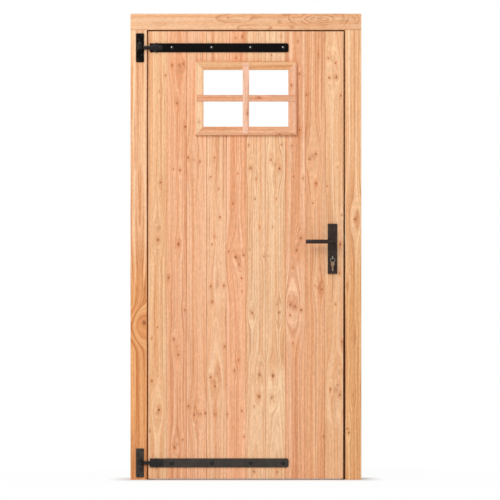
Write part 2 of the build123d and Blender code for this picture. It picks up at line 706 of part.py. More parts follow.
def strap(z):
    """Flat bar with square holes for the necks of its bolts."""
    outline = Pos(STRAP_START + STRAP_LENGTH / 2, z) * Rectangle(STRAP_LENGTH, STRAP_HEIGHT)
    outline = chamfer(outline.vertices().sort_by(Axis.X)[-2:], STRAP_CORNER)
    bar = along_y(outline, STRAP_FACE, FRONT)
    half = BOLT_DIAMETER / 2 + BOLT_CLEARANCE
    for x, bolt_z in strap_bolt_places():
        if bolt_z == z:
            bar -= block(x - half, x + half, STRAP_FACE - OVERRUN, FRONT + OVERRUN, z - half, z + half)
    return bar - rivet_shank(z, STRAP_FACE - OVERRUN, FRONT + OVERRUN)


def hinge_rivet(z):
    head = domed_head(RIVET_HEAD_DIAMETER, RIVET_HEAD_HEIGHT)
    return Pos(rivet_x(), EYE_BAR_FACE, z) * Rot(90, 0, 0) * head + rivet_shank(z, EYE_BAR_FACE, FRONT)


def strap_bolt(x, z):
    """Domed coach bolt with a square neck in the strap."""
    half = BOLT_DIAMETER / 2
    head = Pos(x, STRAP_FACE, z) * Rot(90, 0, 0) * domed_head(BOLT_HEAD_DIAMETER, BOLT_HEAD_HEIGHT)
    neck = block(x - half, x + half, STRAP_FACE, FRONT, z - half, z + half)
    end = LEDGE_BACK + NUT_HEIGHT + BOLT_END
    return head + neck + sided_rod_y(x, z, BOLT_DIAMETER, FASTENER_SIDES, FRONT, end)


def strap_nut(x, z):
    """Six sided nut on the back of a ledge."""
    top = LEDGE_BACK + NUT_HEIGHT
    hexagon = Pos(x, z) * RegularPolygon(NUT_WIDTH / 2, NUT_SIDES, major_radius=False)
    bore = sided_rod_y(x, z, BOLT_DIAMETER, FASTENER_SIDES, LEDGE_BACK - OVERRUN, top + OVERRUN)
    return along_y(hexagon, LEDGE_BACK, top) - bore


# Handle set

def plate_bolt_heights():
    return (HANDLE_PLATE_Z - PLATE_BOLT_SPACING / 2, HANDLE_PLATE_Z + PLATE_BOLT_SPACING / 2)


def plate_bolt_shank(z, size, y0, y1):
    return sided_rod_y(HANDLE_X, z, size, FASTENER_SIDES, y0, y1)


def handle_plate_blank():
    """Outer plate with its holes for the lever's neck and the cylinder."""
    outline = Pos(HANDLE_X, HANDLE_PLATE_Z) * Rectangle(HANDLE_PLATE_WIDTH, HANDLE_PLATE_HEIGHT)
    plate = along_y(outline, PLATE_FACE, FRONT)
    front_edges = plate.faces().sort_by(Axis.Y)[0].edges()
    plate = chamfer(front_edges, HANDLE_PLATE_CHAMFER)
    neck_hole = NECK_DIAMETER + 2 * NECK_CLEARANCE
    plate -= rod_y(HANDLE_X, SPINDLE_Z, neck_hole, PLATE_FACE - OVERRUN, FRONT + OVERRUN)
    return plate - along_y(cylinder_section(CYLINDER_CLEARANCE), PLATE_FACE - OVERRUN, FRONT + OVERRUN)


def outer_handle_plate():
    plate = handle_plate_blank()
    for z in plate_bolt_heights():
        plate -= plate_bolt_shank(z, PLATE_BOLT_DIAMETER, FRONT - PLATE_BOLT_SEAT, FRONT + OVERRUN)
    return plate


def inner_handle_plate():
    plate = mirror(handle_plate_blank(), Plane.XZ)
    bolt_hole_size = PLATE_BOLT_DIAMETER + 2 * BOLT_CLEARANCE
    for z in plate_bolt_heights():
        plate -= plate_bolt_shank(z, bolt_hole_size, BACK - OVERRUN, -PLATE_FACE + OVERRUN)
    return plate


def handle_plate_bolts():
    """Bolts from the inside that clamp the two plates together."""
    bolts = []
    for z in plate_bolt_heights():
        head = Rot(-90, 0, 0) * domed_head(PLATE_BOLT_HEAD, PLATE_BOLT_HEAD_HEIGHT)
        shank = plate_bolt_shank(z, PLATE_BOLT_DIAMETER, FRONT - PLATE_BOLT_SEAT, -PLATE_FACE)
        bolts.append(Pos(HANDLE_X, -PLATE_FACE, z) * head + shank)
    return bolts


def outer_lever():
    """Straight round bar on a round neck, with a square socket for the spindle."""
    section = Pos(LEVER_Y, SPINDLE_Z) * RegularPolygon(LEVER_DIAMETER / 2, RING_SIDES)
    bar = along_x(section, HANDLE_X - LEVER_REACH, HANDLE_X + LEVER_OVERHANG)
    ends = bar.faces().sort_by(Axis.X)
    bar = chamfer(ends[0].edges() + ends[-1].edges(), LEVER_CHAMFER)
    neck = rod_y(HANDLE_X, SPINDLE_Z, NECK_DIAMETER, LEVER_Y, PLATE_FACE + NECK_SEAT)
    return bar + neck - spindle_space(SPINDLE_CLEARANCE, LOCK_PLAY)


def spindle_space(clearance, end_clearance):
    half = SPINDLE_SIZE / 2 + clearance
    end = -(PLATE_FACE + NECK_SEAT - SPINDLE_SOCKET) + end_clearance
    return block(HANDLE_X - half, HANDLE_X + half, -end, end, SPINDLE_Z - half, SPINDLE_Z + half)


# Mortise lock

def forend_blank():
    return block(CASE_FRONT, LEAF_EDGE, -FOREND_WIDTH / 2, FOREND_WIDTH / 2,
                 HANDLE_PLATE_Z - FOREND_HEIGHT / 2, HANDLE_PLATE_Z + FOREND_HEIGHT / 2)


def forend_screws():
    screw = Rot(0, 90, 0) * small_screw()
    half = FOREND_SCREW_SPACING / 2
    return [Pos(LEAF_EDGE, 0, HANDLE_PLATE_Z + side * half) * screw for side in (-1, 1)]


def cylinder_screw():
    """Long screw through the forend into the foot of the cylinder."""
    length = BACKSET + CYLINDER_LEG_WIDTH / 2
    screw = countersunk_screw(CYLINDER_SCREW_HEAD, CYLINDER_SCREW_DIAMETER, length, FASTENER_SIDES)
    return Pos(LEAF_EDGE, 0, CYLINDER_Z - CYLINDER_SCREW_DROP) * Rot(0, 90, 0) * screw


def lock_forend():
    plate = forend_blank()
    half = LOCK_BOLT_HALF + LOCK_PLAY
    for low, high in ((LATCH_BOTTOM, LATCH_TOP), (DEAD_BOLT_BOTTOM, DEAD_BOLT_TOP)):
        plate -= block(CASE_FRONT - OVERRUN, LEAF_EDGE + OVERRUN, -half, half,
                       low - LOCK_PLAY, high + LOCK_PLAY)
    for screw in forend_screws():
        plate -= screw
    return plate - cylinder_screw()


def lock_case():
    """Folded steel case, open towards the forend."""
    half = CASE_THICKNESS / 2
    outside = block(CASE_BACK, CASE_FRONT, -half, half, CASE_BOTTOM, CASE_TOP)
    inside = block(CASE_BACK + CASE_WALL, CASE_FRONT + OVERRUN, -CASE_INSIDE, CASE_INSIDE,
                   CASE_BOTTOM + CASE_WALL, CASE_TOP - CASE_WALL)
    case = outside - inside
    case -= hub_hole(-half - OVERRUN, half + OVERRUN)
    return case - along_y(cylinder_section(CYLINDER_CLEARANCE), -half - OVERRUN, half + OVERRUN)


def follower():
    """Hub on the spindle with the arm that draws the latch."""
    half_case = CASE_THICKNESS / 2
    hub = sided_rod_y(HANDLE_X, SPINDLE_Z, FOLLOWER_DIAMETER, HEAD_SIDES, -half_case, half_case)
    half = FOLLOWER_ARM_WIDTH / 2
    arm = block(HANDLE_X - half, HANDLE_X + half, -LOCK_BOLT_HALF, LOCK_BOLT_HALF,
                SPINDLE_Z, SPINDLE_Z + FOLLOWER_ARM_LENGTH)
    return hub + arm - spindle_space(SPINDLE_CLEARANCE, 0)


def latch_bolt():
    """Latch with a slanted nose, and a tail whose leg the follower's arm pushes."""
    tip = LEAF_EDGE + LATCH_PROJECTION
    root = tip - LATCH_HEAD_LENGTH
    half = LOCK_BOLT_HALF
    slant = LATCH_PROJECTION - LATCH_NOSE
    outline = [(root, -half), (tip, -half), (tip, -half + LATCH_NOSE), (tip - slant, half), (root, half)]
    head = along_z(face_of(outline), LATCH_BOTTOM, LATCH_TOP)
    leg_right = HANDLE_X - FOLLOWER_ARM_WIDTH / 2 - LATCH_LEG_GAP
    leg_left = leg_right - LATCH_LEG_WIDTH
    tail_bottom = LATCH_TOP - LATCH_TAIL_HEIGHT
    leg_bottom = SPINDLE_Z + LATCH_LEG_RISE
    tail = face_of([(root, LATCH_TOP), (leg_left, LATCH_TOP), (leg_left, leg_bottom),
                    (leg_right, leg_bottom), (leg_right, tail_bottom), (root, tail_bottom)])
    return head + along_y(tail, -LATCH_TAIL_THICKNESS / 2, LATCH_TAIL_THICKNESS / 2)


def dead_bolt():
    tip = LEAF_EDGE - DEAD_BOLT_RECESS
    return block(tip - DEAD_BOLT_LENGTH, tip, -LOCK_BOLT_HALF, LOCK_BOLT_HALF,
                 DEAD_BOLT_BOTTOM, DEAD_BOLT_TOP)


# Lock cylinder and keys

def keyway(y0, y1):
    half_x = KEY_THICKNESS / 2 + KEY_CLEARANCE
    half_z = KEY_BLADE_HEIGHT / 2 + KEY_CLEARANCE
    return block(HANDLE_X - half_x, HANDLE_X + half_x, y0, y1, CYLINDER_Z - half_z, CYLINDER_Z + half_z)


def cylinder_body():
    """Profile body, bored for the plugs and cut open in the middle for the cam."""
    body = along_y(cylinder_section(0), CYLINDER_FACE, -CYLINDER_FACE)
    body -= rod_y(HANDLE_X, CYLINDER_Z, PLUG_DIAMETER + 2 * PLUG_CLEARANCE,
                  CYLINDER_FACE - OVERRUN, -CYLINDER_FACE + OVERRUN)
    half = CAM_WIDTH / 2 + CAM_CLEARANCE
    body -= block(HANDLE_X - CAM_RADIUS, HANDLE_X + CAM_RADIUS, -half, half,
                  CYLINDER_Z - CAM_RADIUS - CAM_CLEARANCE, CYLINDER_Z + CAM_RADIUS)
    return body - cylinder_screw()


def cylinder_plug():
    """Outer plug with the keyway, and the cam that throws the dead bolt."""
    plug = rod_y(HANDLE_X, CYLINDER_Z, PLUG_DIAMETER, CYLINDER_FACE, CAM_WIDTH / 2)
    ring = rod_y(HANDLE_X, CYLINDER_Z, CYLINDER_DIAMETER - 2 * CAM_CLEARANCE, -CAM_WIDTH / 2, CAM_WIDTH / 2)
    half = CAM_NOSE_WIDTH / 2
    nose = block(HANDLE_X - half, HANDLE_X + half, -CAM_WIDTH / 2, CAM_WIDTH / 2,
                 CYLINDER_Z - math.sqrt(CAM_RADIUS ** 2 - half ** 2), CYLINDER_Z)
    slot_end = CYLINDER_FACE + KEY_BLADE_LENGTH + KEY_CLEARANCE
    return plug + ring + nose - keyway(CYLINDER_FACE - OVERRUN, slot_end)


def cylinder_inner_plug():
    start = CAM_WIDTH / 2 + CAM_CLEARANCE
    plug = rod_y(HANDLE_X, CYLINDER_Z, PLUG_DIAMETER, start, -CYLINDER_FACE)
    return plug - keyway(start + CAM_WIDTH, -CYLINDER_FACE + OVERRUN)


def key_shape(blade_length):
    """Flat key in (along the blade, height), with its bow's centre at the origin and notched teeth."""
    bow = RegularPolygon(KEY_BOW_DIAMETER / 2, RING_SIDES)
    bow -= Pos(-KEY_HOLE_OFFSET, 0) * RegularPolygon(KEY_HOLE_DIAMETER / 2, HEAD_SIDES, major_radius=False)
    start = KEY_BOW_DIAMETER / 2
    tip = start + KEY_SHANK_LENGTH + blade_length
    blade = Pos(tip / 2, 0) * Rectangle(tip, KEY_BLADE_HEIGHT)
    blade -= RegularPolygon(KEY_BOW_DIAMETER / 2, RING_SIDES)
    notch = Rot(0, 0, 45) * Rectangle(KEY_BITTING_DEPTH, KEY_BITTING_DEPTH)
    for share in KEY_BITTING_SHARES:
        blade -= Pos(start + KEY_SHANK_LENGTH + share * blade_length, KEY_BLADE_HEIGHT / 2) * notch
    return bow + blade


def flat_key(blade_length):
    """Key in the (y, z) plane with its blade along +Y."""
    return along_x(key_shape(blade_length), -KEY_THICKNESS / 2, KEY_THICKNESS / 2)


def key():
    return Pos(HANDLE_X, BOW_Y, CYLINDER_Z) * flat_key(KEY_BLADE_LENGTH)


def key_ring():
    """Flat wire ring that hangs in the hole of the key's bow."""
    outer = RegularPolygon(RING_DIAMETER / 2 + RING_WIRE / 2, RING_SIDES)
    wire = outer - RegularPolygon(RING_DIAMETER / 2 - RING_WIRE / 2, RING_SIDES)
    half = RING_WIRE / 2
    return along_y(Pos(HANDLE_X, RING_Z) * wire, KEY_HOLE_Y - half, KEY_HOLE_Y + half)


def spare_key():
    """Second key that hangs from the ring with its blade down, turned partly towards the front."""
    hanging = Rot(-90, 0, 0) * Pos(0, KEY_HOLE_OFFSET, 0) * flat_key(SPARE_BLADE_LENGTH)
    return Pos(HANDLE_X, KEY_HOLE_Y, SPARE_HOLE_Z) * Rot(0, 0, SPARE_TURN) * hanging


# Write every node

def all_nodes():
    straps = {"upper": UPPER_STRAP_Z, "lower": LOWER_STRAP_Z}
    nodes = {"frame_head": frame_head(), "hinge_jamb": hinge_jamb(), "lock_jamb": lock_jamb()}
    nodes["strike_plate"] = strike_plate()
    nodes["strike_plate_screws"] = group(strike_screws())
    over_window = []
    for number, lengths in enumerate(boards(), start=1):
        nodes[f"board_{number:02d}"] = lengths[0]
        over_window += lengths[1:]
    nodes["boards_over_window"] = group(over_window)
    for name, z in ledge_heights().items():
        nodes[name] = ledge(z)
    nodes["ledge_screws"] = group(ledge_screws())
    nodes.update(casing_pieces())
    nodes["window_bar_upright"], nodes["window_bar_level"] = window_bars()
    nodes["glass_pane"] = glass_pane()
    nodes["glazing_beads"] = group(glazing_beads())
    for name, z in straps.items():
        nodes[f"{name}_hinge_plate"] = hinge_plate(z)
        nodes[f"{name}_pintle"] = pintle(z)
        nodes[f"{name}_hinge_eye"] = hinge_eye(z)
        nodes[f"{name}_strap"] = strap(z)
    nodes["hinge_plate_screws"] = group([screw for z in straps.values() for screw in hinge_plate_screws(z)])
    nodes["hinge_rivets"] = group([hinge_rivet(z) for z in straps.values()])
    nodes["strap_bolts"] = group([strap_bolt(x, z) for x, z in strap_bolt_places()])
    nodes["strap_nuts"] = group([strap_nut(x, z) for x, z in strap_bolt_places()])
    nodes["outer_handle_plate"] = outer_handle_plate()
    nodes["inner_handle_plate"] = inner_handle_plate()
    nodes["handle_plate_bolts"] = group(handle_plate_bolts())
    nodes["outer_lever"] = outer_lever()
    nodes["inner_lever"] = mirror(outer_lever(), Plane.XZ)
    nodes["spindle"] = spindle_space(0, 0)
    nodes["follower"] = follower()
    nodes["latch_bolt"] = latch_bolt()
    nodes["dead_bolt"] = dead_bolt()
    nodes["lock_case"] = lock_case()
    nodes["lock_forend"] = lock_forend()
    nodes["forend_screws"] = group(forend_screws())
    nodes["cylinder_body"] = cylinder_body()
    nodes["cylinder_plug"] = cylinder_plug()
    nodes["cylinder_inner_plug"] = cylinder_inner_plug()
    nodes["cylinder_screw"] = cylinder_screw()
    nodes["key"] = key()
    nodes["key_ring"] = key_ring()
    nodes["spare_key"] = spare_key()
    return nodes


os.makedirs("parts", exist_ok=True)
for node, shape in all_nodes().items():
    export_step(shape, f"parts/{node}.step")
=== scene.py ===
import json
import math

import bmesh
import bpy
from mathutils import Color, Matrix, Vector


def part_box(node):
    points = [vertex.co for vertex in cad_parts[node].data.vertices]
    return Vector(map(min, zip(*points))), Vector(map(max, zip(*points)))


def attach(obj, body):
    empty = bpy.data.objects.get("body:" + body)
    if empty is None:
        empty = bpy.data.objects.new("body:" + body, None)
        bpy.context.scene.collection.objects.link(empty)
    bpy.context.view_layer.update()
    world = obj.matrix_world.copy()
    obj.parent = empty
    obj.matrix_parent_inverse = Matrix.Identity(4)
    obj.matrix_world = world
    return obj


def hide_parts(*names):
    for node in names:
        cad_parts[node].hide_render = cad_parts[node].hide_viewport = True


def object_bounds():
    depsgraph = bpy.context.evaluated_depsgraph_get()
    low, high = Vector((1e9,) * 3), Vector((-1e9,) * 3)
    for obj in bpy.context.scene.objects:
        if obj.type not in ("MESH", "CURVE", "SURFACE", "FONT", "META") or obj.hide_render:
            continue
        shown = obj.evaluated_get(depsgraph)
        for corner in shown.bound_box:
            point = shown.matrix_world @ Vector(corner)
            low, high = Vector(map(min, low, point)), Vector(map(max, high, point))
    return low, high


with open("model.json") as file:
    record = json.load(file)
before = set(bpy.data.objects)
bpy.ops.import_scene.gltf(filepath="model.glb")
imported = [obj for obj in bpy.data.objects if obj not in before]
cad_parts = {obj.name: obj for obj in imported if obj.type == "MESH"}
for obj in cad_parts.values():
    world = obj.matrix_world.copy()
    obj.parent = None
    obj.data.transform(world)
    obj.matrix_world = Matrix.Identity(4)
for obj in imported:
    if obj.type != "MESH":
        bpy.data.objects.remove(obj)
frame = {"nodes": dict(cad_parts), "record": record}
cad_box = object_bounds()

NODES = frame["nodes"]
RECORD = frame["record"]
BODY_OF = {node: body for body, nodes in RECORD["behaviour"]["bodies"].items() for node in nodes}
SLOT_OF = {row["node"]: row["material_slot"] for row in RECORD["subparts"]}
MILLIMETRE = 0.001
FULL_TURN = 2 * math.pi
COLOUR_STEPS = 255

# View and light, in metres
VIEW_WIDTH = 2.2525
CAMERA_DISTANCE = 16.0
CAMERA_X = 0.0185
CAMERA_Z = 1.035
CLIP_END = 64.0
SENSOR_WIDTH = 36.0
WHITE = (1.0, 1.0, 1.0, 1.0)
WORLD_STRENGTH = 0.62
LAMP_PLACE = (-2.0, -4.6, 4.6)
LAMP_TARGET = (0.0, 0.0, 1.3)
LAMP_SIZE = 3.4
LAMP_POWER = 165.0
FLOOR_HALF = 4.0
FLOOR_COLOUR = (0.9, 0.9, 0.9, 1.0)
FLOOR_ROUGHNESS = 0.9
FLOOR_WHITE_NEAR_SHARE = 0.95
FLOOR_SHADE_MIDDLE = 0.030
FLOOR_SHADE_DEPTH = 0.042
FLOOR_NEAR_REACH = 0.12
FLOOR_FAR_REACH = 1.2

# Sockets of the mix node: its share, first and second value
MIX_NUMBERS = (0, 2, 3)
MIX_COLOURS = (0, 6, 7)
MIX_COLOUR_OUTPUT = 2

# Timber: the colours within a piece as shares of its tint
PALE_SHARES = (1.03, 1.08, 1.13)
RED_SHARES = (0.98, 0.92, 0.865)
LATE_SHARES = (0.83, 0.68, 0.55)
WARM_SHARES = (0.90, 0.74, 0.60)
KNOT_SHARES = (0.57, 0.40, 0.29)
LOOP_SHARES = (0.79, 0.59, 0.41)
# Painted shade, as shares of the tint: in crevices, and deeper on the pieces beside the lock side gap
CREVICE_SHADE_SHARES = (0.70, 0.46, 0.26)
DEEP_SHADE_SHARES = (0.34, 0.14, 0.03)

# Timber: how much of each colour shows
PALE_LINE_SHARE = 0.9
DARK_LINE_SHARE = 0.78
RING_SHARE = 0.55
DASH_SHARE = 0.35
LOOP_LINE_SHARE = 0.9
HALO_SHARE = 0.6
CORE_SHARE = 0.88
SWIRL_SHARE = 0.30
# Painted shade in crevices: its usual share and a fainter one
CREVICE_SHARE = 0.9
FAINT_CREVICE_SHADE_SHARE = 0.3
# Painted shade beside the lock side gap
GAP_SHADE_SHARE = 0.9
RING_SHARES = (0.2, 1.5)
BREAK_SHARES = (0.1, 1.0)
FIBRE_SHARES = (0.93, 1.07)
MOTTLE_SHARES = (0.91, 1.085)

# Timber: noises as (scale or scales, detail, roughness), and the ranges of them that count
NOISE_MIDDLE = 0.5
NOISE_ROUGHNESS = 0.5
MIDDLE_RANGE = (0.25, 0.75)
SWAY_NOISE = ((7.0, 2.2, 1.0), 3.0)
DRIFT_NOISE = ((0.6, 1.0, 1.0), 2.0)
RING_NOISE = (0.83, 0.0)
STREAK_NOISE = ((64.0, 1.0, 0.6), 3.0, 0.65)
STREAK_RANGE = (0.30, 0.70)
LINE_NOISE = ((135.0, 1.7, 1.4), 3.0, 0.65)
PALE_LINE_RANGE = (0.26, 0.48)
DARK_LINE_RANGE = (0.47, 0.74)
FIBRE_NOISE = ((1100.0, 1100.0, 16.0), 2.0)
MOTTLE_NOISE = ((165.0, 165.0, 60.0), 3.0)
DASH_NOISE = ((420.0, 420.0, 24.0), 1.0)
DASH_RANGE = (0.64, 0.76)
KNOT_NOISE = (170.0, 2.0)
WAVER_NOISE = (22.0, 2.0)
BREAK_NOISE = (16.0, 1.0)
BREAK_RANGE = (0.38, 0.58)

# Timber: growth rings and flames, in metres
RING_SPACING = 0.0085
RING_POWER = 2.4
RING_FALL = (0.86, 1.0)
RING_SLICE = 3.0
RING_DRIFT = 2.6
SWAY_REACH = 0.016
FLAME_DEPTH = -0.012
FLAME_SOFTNESS = 0.10

# Timber: knots, in radii, with core and halo as (stretch share, raggedness, range), and closed growth
# lines, in half widths
CENTRE_INPUTS = ["Across", "Along", "Centre Across", "Centre Along"]
KNOT_CORE = (0.75, 1.6, (0.2, 1.15))
KNOT_HALO = (0.55, 3.2, (0.3, 2.9))
PULL_STRETCH_SHARE = 0.30
PULL_SHARE = 0.92
PULL_RANGE = (0.3, 4.6)
KNOT_DARK_SHARES = (0.7, 0.3)
KNOT_DARK_TURNS = (7.3, 3.1)
LOOP_WAVER = 0.6
LOOP_POWER = 1.7
LOOP_FALL = (0.82, 1.0)
LOOP_RIM = (0.98, 1.02)

# Timber: shine, relief with its (strength, distance), and painted shade in crevices
TIMBER_ROUGHNESS = 0.5
FIBRE_ROUGHNESS = 0.16
LATE_ROUGHNESS = -0.1
TIMBER_SPECULAR = 0.25
RELIEF_SHARE = 0.5
TIMBER_BUMP = (0.35, 0.0004)
LOW_TINT_HEIGHTS = (0.80, 1.20)
SHADE_SAMPLES = 6
CREVICE_DISTANCE = 0.025
CREVICE_RANGE = (0.12, 0.62)

# Painted shade on the front edges beside the gap on the lock side, wider lower down
GAP_X = 0.443
GAP_SHADE_HEIGHTS = (0.3, 1.7)
GAP_SHADE_REACHES = (0.0056, 0.0028)
GAP_SHADE_RANGE = (0.0, 0.0006)
GAP_SHADE_DEPTHS = (-0.0130, -0.0105)

# Boards: tint as seen, in steps of 255
BOARD_PITCH = 0.089
BOARD_SEED_STEP = 3.7
FIRST_CUT_BOARD = 4
LAST_CUT_BOARD = 7
BOARD_TINTS = [
    (241, 190, 143), (240, 180, 137), (243, 187, 145), (243, 190, 147), (247, 186, 143),
    (243, 194, 150), (245, 199, 155), (245, 189, 147), (239, 180, 134), (244, 193, 147),
]
# Place of the pith from the board's middle, across and behind
BOARD_PITHS = [
    (0.120, 0.030), (-0.160, 0.050), (0.150, 0.040), (-0.140, 0.045), (-0.220, 0.030),
    (0.170, 0.035), (-0.170, 0.035), (0.140, 0.040), (0.180, 0.050), (-0.130, 0.040),
]
# Flames of flat sawn grain as (middle, origin, lean, lowest, highest), by board
BOARD_FLAMES = {
    1: [(-0.400, 0.250, 0.060, 0.02, 0.52), (-0.405, 1.120, 0.050, 0.95, 1.36)],
    4: [(-0.134, 0.150, 0.048, 0.34, 0.84)],
    6: [(0.044, -0.350, 0.052, 0.05, 0.60)],
    7: [(0.138, -0.380, 0.052, 0.05, 0.56)],
    8: [(0.212, 0.770, 0.075, 0.58, 1.02)],
    10: [(0.412, 0.300, 0.050, 0.20, 0.62)],
}
# Knots as (across, height, radius) in millimetres
BOARD_KNOTS = [
    [(-385, 1339, 4.5), (-397, 1080, 7.5), (-399, 687, 3.5), (-425, 636, 3.5), (-424, 445, 6.5),
     (-393, 315, 7.0), (-433, 220, 3.5), (-389, 1749, 4.0), (-362, 1822, 4.0)],
    [(-326, 1401, 4.0), (-297, 1395, 4.5), (-304, 1061, 7.0), (-349, 910, 6.0), (-275, 765, 6.0),
     (-324, 633, 5.0), (-305, 564, 5.0), (-284, 181, 4.0), (-321, 145, 6.5), (-332, 1867, 5.5),
     (-300, 1868, 5.0), (-281, 1874, 5.0), (-311, 1696, 6.0), (-273, 1590, 5.0)],
    [(-260, 1452, 5.0), (-207, 1434, 5.0), (-259, 331, 5.5), (-233, 292, 4.5), (-204, 297, 4.5),
     (-183, 300, 6.0)],
    [(-141, 1452, 4.5), (-160, 1364, 4.5), (-123, 1311, 4.0), (-117, 1183, 4.5), (-141, 1096, 3.5),
     (-153, 1060, 3.0), (-158, 871, 5.0), (-99, 874, 5.0), (-152, 801, 5.5), (-159, 462, 5.0),
     (-140, 421, 6.0), (-95, 600, 4.5), (-139, 294, 4.5)],
    [(-36, 1379, 4.5), (-58, 1244, 4.5), (-78, 1029, 4.5), (-47, 1003, 6.5), (-10, 1012, 5.0),
     (-31, 972, 5.5), (-20, 909, 3.5), (-17, 849, 4.0), (-34, 538, 5.0), (-51, 490, 5.5),
     (-83, 295, 4.0), (-18, 311, 4.5), (-8, 193, 4.0), (-15, 1997, 6.5), (-46, 1991, 4.0),
     (-45, 1900, 4.5)],
    [(13, 1508, 4.5), (21, 1404, 6.5), (46, 1355, 4.0), (41, 1265, 3.5), (62, 1138, 3.5),
     (18, 1037, 3.0), (81, 1007, 3.5), (28, 751, 6.5), (62, 473, 7.5), (60, 375, 6.5),
     (38, 329, 3.5), (37, 36, 4.5)],
    [(160, 1508, 4.5), (112, 1441, 6.0), (152, 1402, 6.5), (137, 1265, 3.5), (121, 1138, 3.5),
     (103, 1008, 3.5), (148, 753, 6.5), (122, 468, 8.0), (117, 370, 6.5), (140, 35, 4.5),
     (159, 1997, 3.5), (115, 1912, 3.5)],
    [(207, 1504, 4.5), (214, 1366, 3.5), (257, 1358, 4.5), (246, 1088, 6.0), (228, 1034, 7.0),
     (212, 956, 5.0), (200, 789, 5.5), (223, 781, 5.0), (249, 765, 5.0), (199, 742, 4.0),
     (213, 615, 4.0), (234, 1976, 4.0), (241, 1828, 5.0), (241, 1575, 5.0)],
    [(316, 1335, 4.5), (302, 1246, 3.5), (342, 858, 5.0), (311, 874, 4.0), (314, 1468, 6.0),
     (285, 1445, 6.0), (273, 1733, 4.0), (326, 1916, 3.5), (350, 195, 4.0)],
    [(432, 1192, 4.0), (413, 1407, 3.5), (366, 1323, 3.5), (425, 1060, 6.0), (422, 931, 4.0),
     (404, 790, 4.0), (413, 427, 5.0), (382, 407, 5.0), (423, 382, 6.0), (403, 1877, 4.5),
     (371, 1898, 5.0), (375, 1811, 5.0), (407, 1814, 6.5), (428, 1730, 4.0), (434, 621, 4.0)],
]
# Larger patches of turned and reddened grain around groups of knots, written like the knots
BOARD_SWIRLS = [
    [(-397, 1130, 11.0), (-400, 300, 9.0)],
    [(-300, 1868, 15.0), (-313, 600, 9.0), (-310, 160, 9.0)],
    [(-215, 300, 13.0), (-235, 1443, 12.0)],
    [(-140, 440, 12.0), (-128, 872, 12.0)],
    [(-35, 1000, 17.0), (-20, 1990, 9.0)],
    [(62, 473, 11.0), (60, 375, 10.0), (28, 751, 8.0)],
    [(122, 468, 11.0), (117, 370, 10.0), (148, 753, 8.0), (130, 1420, 12.0)],
    [(213, 778, 18.0), (236, 1060, 11.0)],
    [(300, 1455, 15.0), (327, 866, 10.0)],
    [(405, 405, 16.0), (395, 1815, 14.0), (390, 1890, 10.0)],
]

# Frame, casing and bars; a shove is (along, amount, reach), a loop is
# (across, along, half across, half along, count) with its lengths in millimetres
JOINERY = {
    "hinge_jamb": dict(
        name="hinge_jamb_fir", tint=(248, 197, 152), low_tint=(239, 173, 114), seed=41.0,
        pith=(-0.62, 0.05), knots=[(-458, 707, 12.0)], contrast=1.6, spacing=0.0068,
        flames=[(-0.478, 1.30, 0.040, 0.85, 1.45)], shove=(0.690, 0.056, 0.12),
        crevices=FAINT_CREVICE_SHADE_SHARE),
    "lock_jamb": dict(
        name="lock_jamb_fir", tint=(247, 196, 148), low_tint=(239, 183, 128), seed=47.0,
        pith=(0.66, 0.06), knots=[(492, 1173, 7.0), (457, 230, 5.0), (464, 212, 4.5)],
        swirls=[(484, 382, 7.0), (458, 880, 6.0), (487, 659, 6.0), (492, 1173, 14.0)],
        contrast=1.3, spacing=0.0095, shaded_gap=True),
    "frame_head": dict(
        name="head_fir", tint=(234, 181, 137), pith=(2.24, 0.05), knots=[(2078, 24, 3.5)],
        seed=53.0, swirls=[(2076, 330, 9.0)], level=True, contrast=0.3, spacing=0.0090,
        loops=[(2076, 335, 52, 190, 5), (2080, -45, 23, 92, 2), (2116, 95, 44, 120, 2),
               (2054, -378, 9, 40, 2), (2036, 40, 16, 80, 2)]),
    "casing_bottom": dict(
        name="casing_fir_bottom", tint=(240, 184, 143), pith=(1.72, 0.04), seed=61.0,
        knots=[(1557, 152, 5.0)], swirls=[(1588, -98, 5.0)], level=True),
    "casing_top": dict(
        name="casing_fir_top", tint=(232, 177, 128), pith=(2.0, 0.04), seed=63.0, level=True),
    "casing_left": dict(
        name="casing_fir_left", tint=(242, 194, 150), pith=(-0.36, 0.04), seed=65.0,
        knots=[(-212, 1612, 4.0)]),
    "casing_right": dict(
        name="casing_fir_right", tint=(241, 183, 146), pith=(0.38, 0.04), seed=67.0,
        knots=[(205, 1777, 5.0)]),
    "window_bar_upright": dict(
        name="bar_fir_upright", tint=(243, 194, 165), pith=(0.16, 0.04), seed=69.0,
        knots=[(8, 1650, 5.0)], swirls=[(-4, 1862, 9.0)], crevices=0.0),
    "window_bar_level": dict(
        name="bar_fir_level", tint=(228, 165, 126), pith=(1.62, 0.04), seed=71.0,
        knots=[(1721, 58, 4.5)], level=True, crevices=0.0),
}

# Ledges; the pith is given from the ledge's middle, across and behind
LEDGE_TINTS = {
    "top_ledge": (241, 188, 142), "window_ledge": (240, 183, 138), "lock_ledge": (243, 190, 146),
    "bottom_ledge": (239, 182, 136),
}
LEDGE_PITH = (0.17, 0.09)
LEDGE_KNOTS = 4
LEDGE_KNOT_RADIUS = 5.5
LEDGE_KNOT_STEP = 165
LEDGE_KNOT_RISE = 23
LEDGE_KNOT_TURN = 2.1
LEDGE_FLAME_RISE = 0.012
LEDGE_FLAME_LEAN = 0.05
LEDGE_FLAME_START = -0.36
# The first ledge's value, and its step from ledge to ledge
LEDGE_SEEDS = (80.0, 3.0)
LEDGE_KNOT_STARTS = (-340, 37)
LEDGE_FLAME_ORIGINS = (-0.15, 0.1)
LEDGE_FLAME_ENDS = (0.16, 0.05)
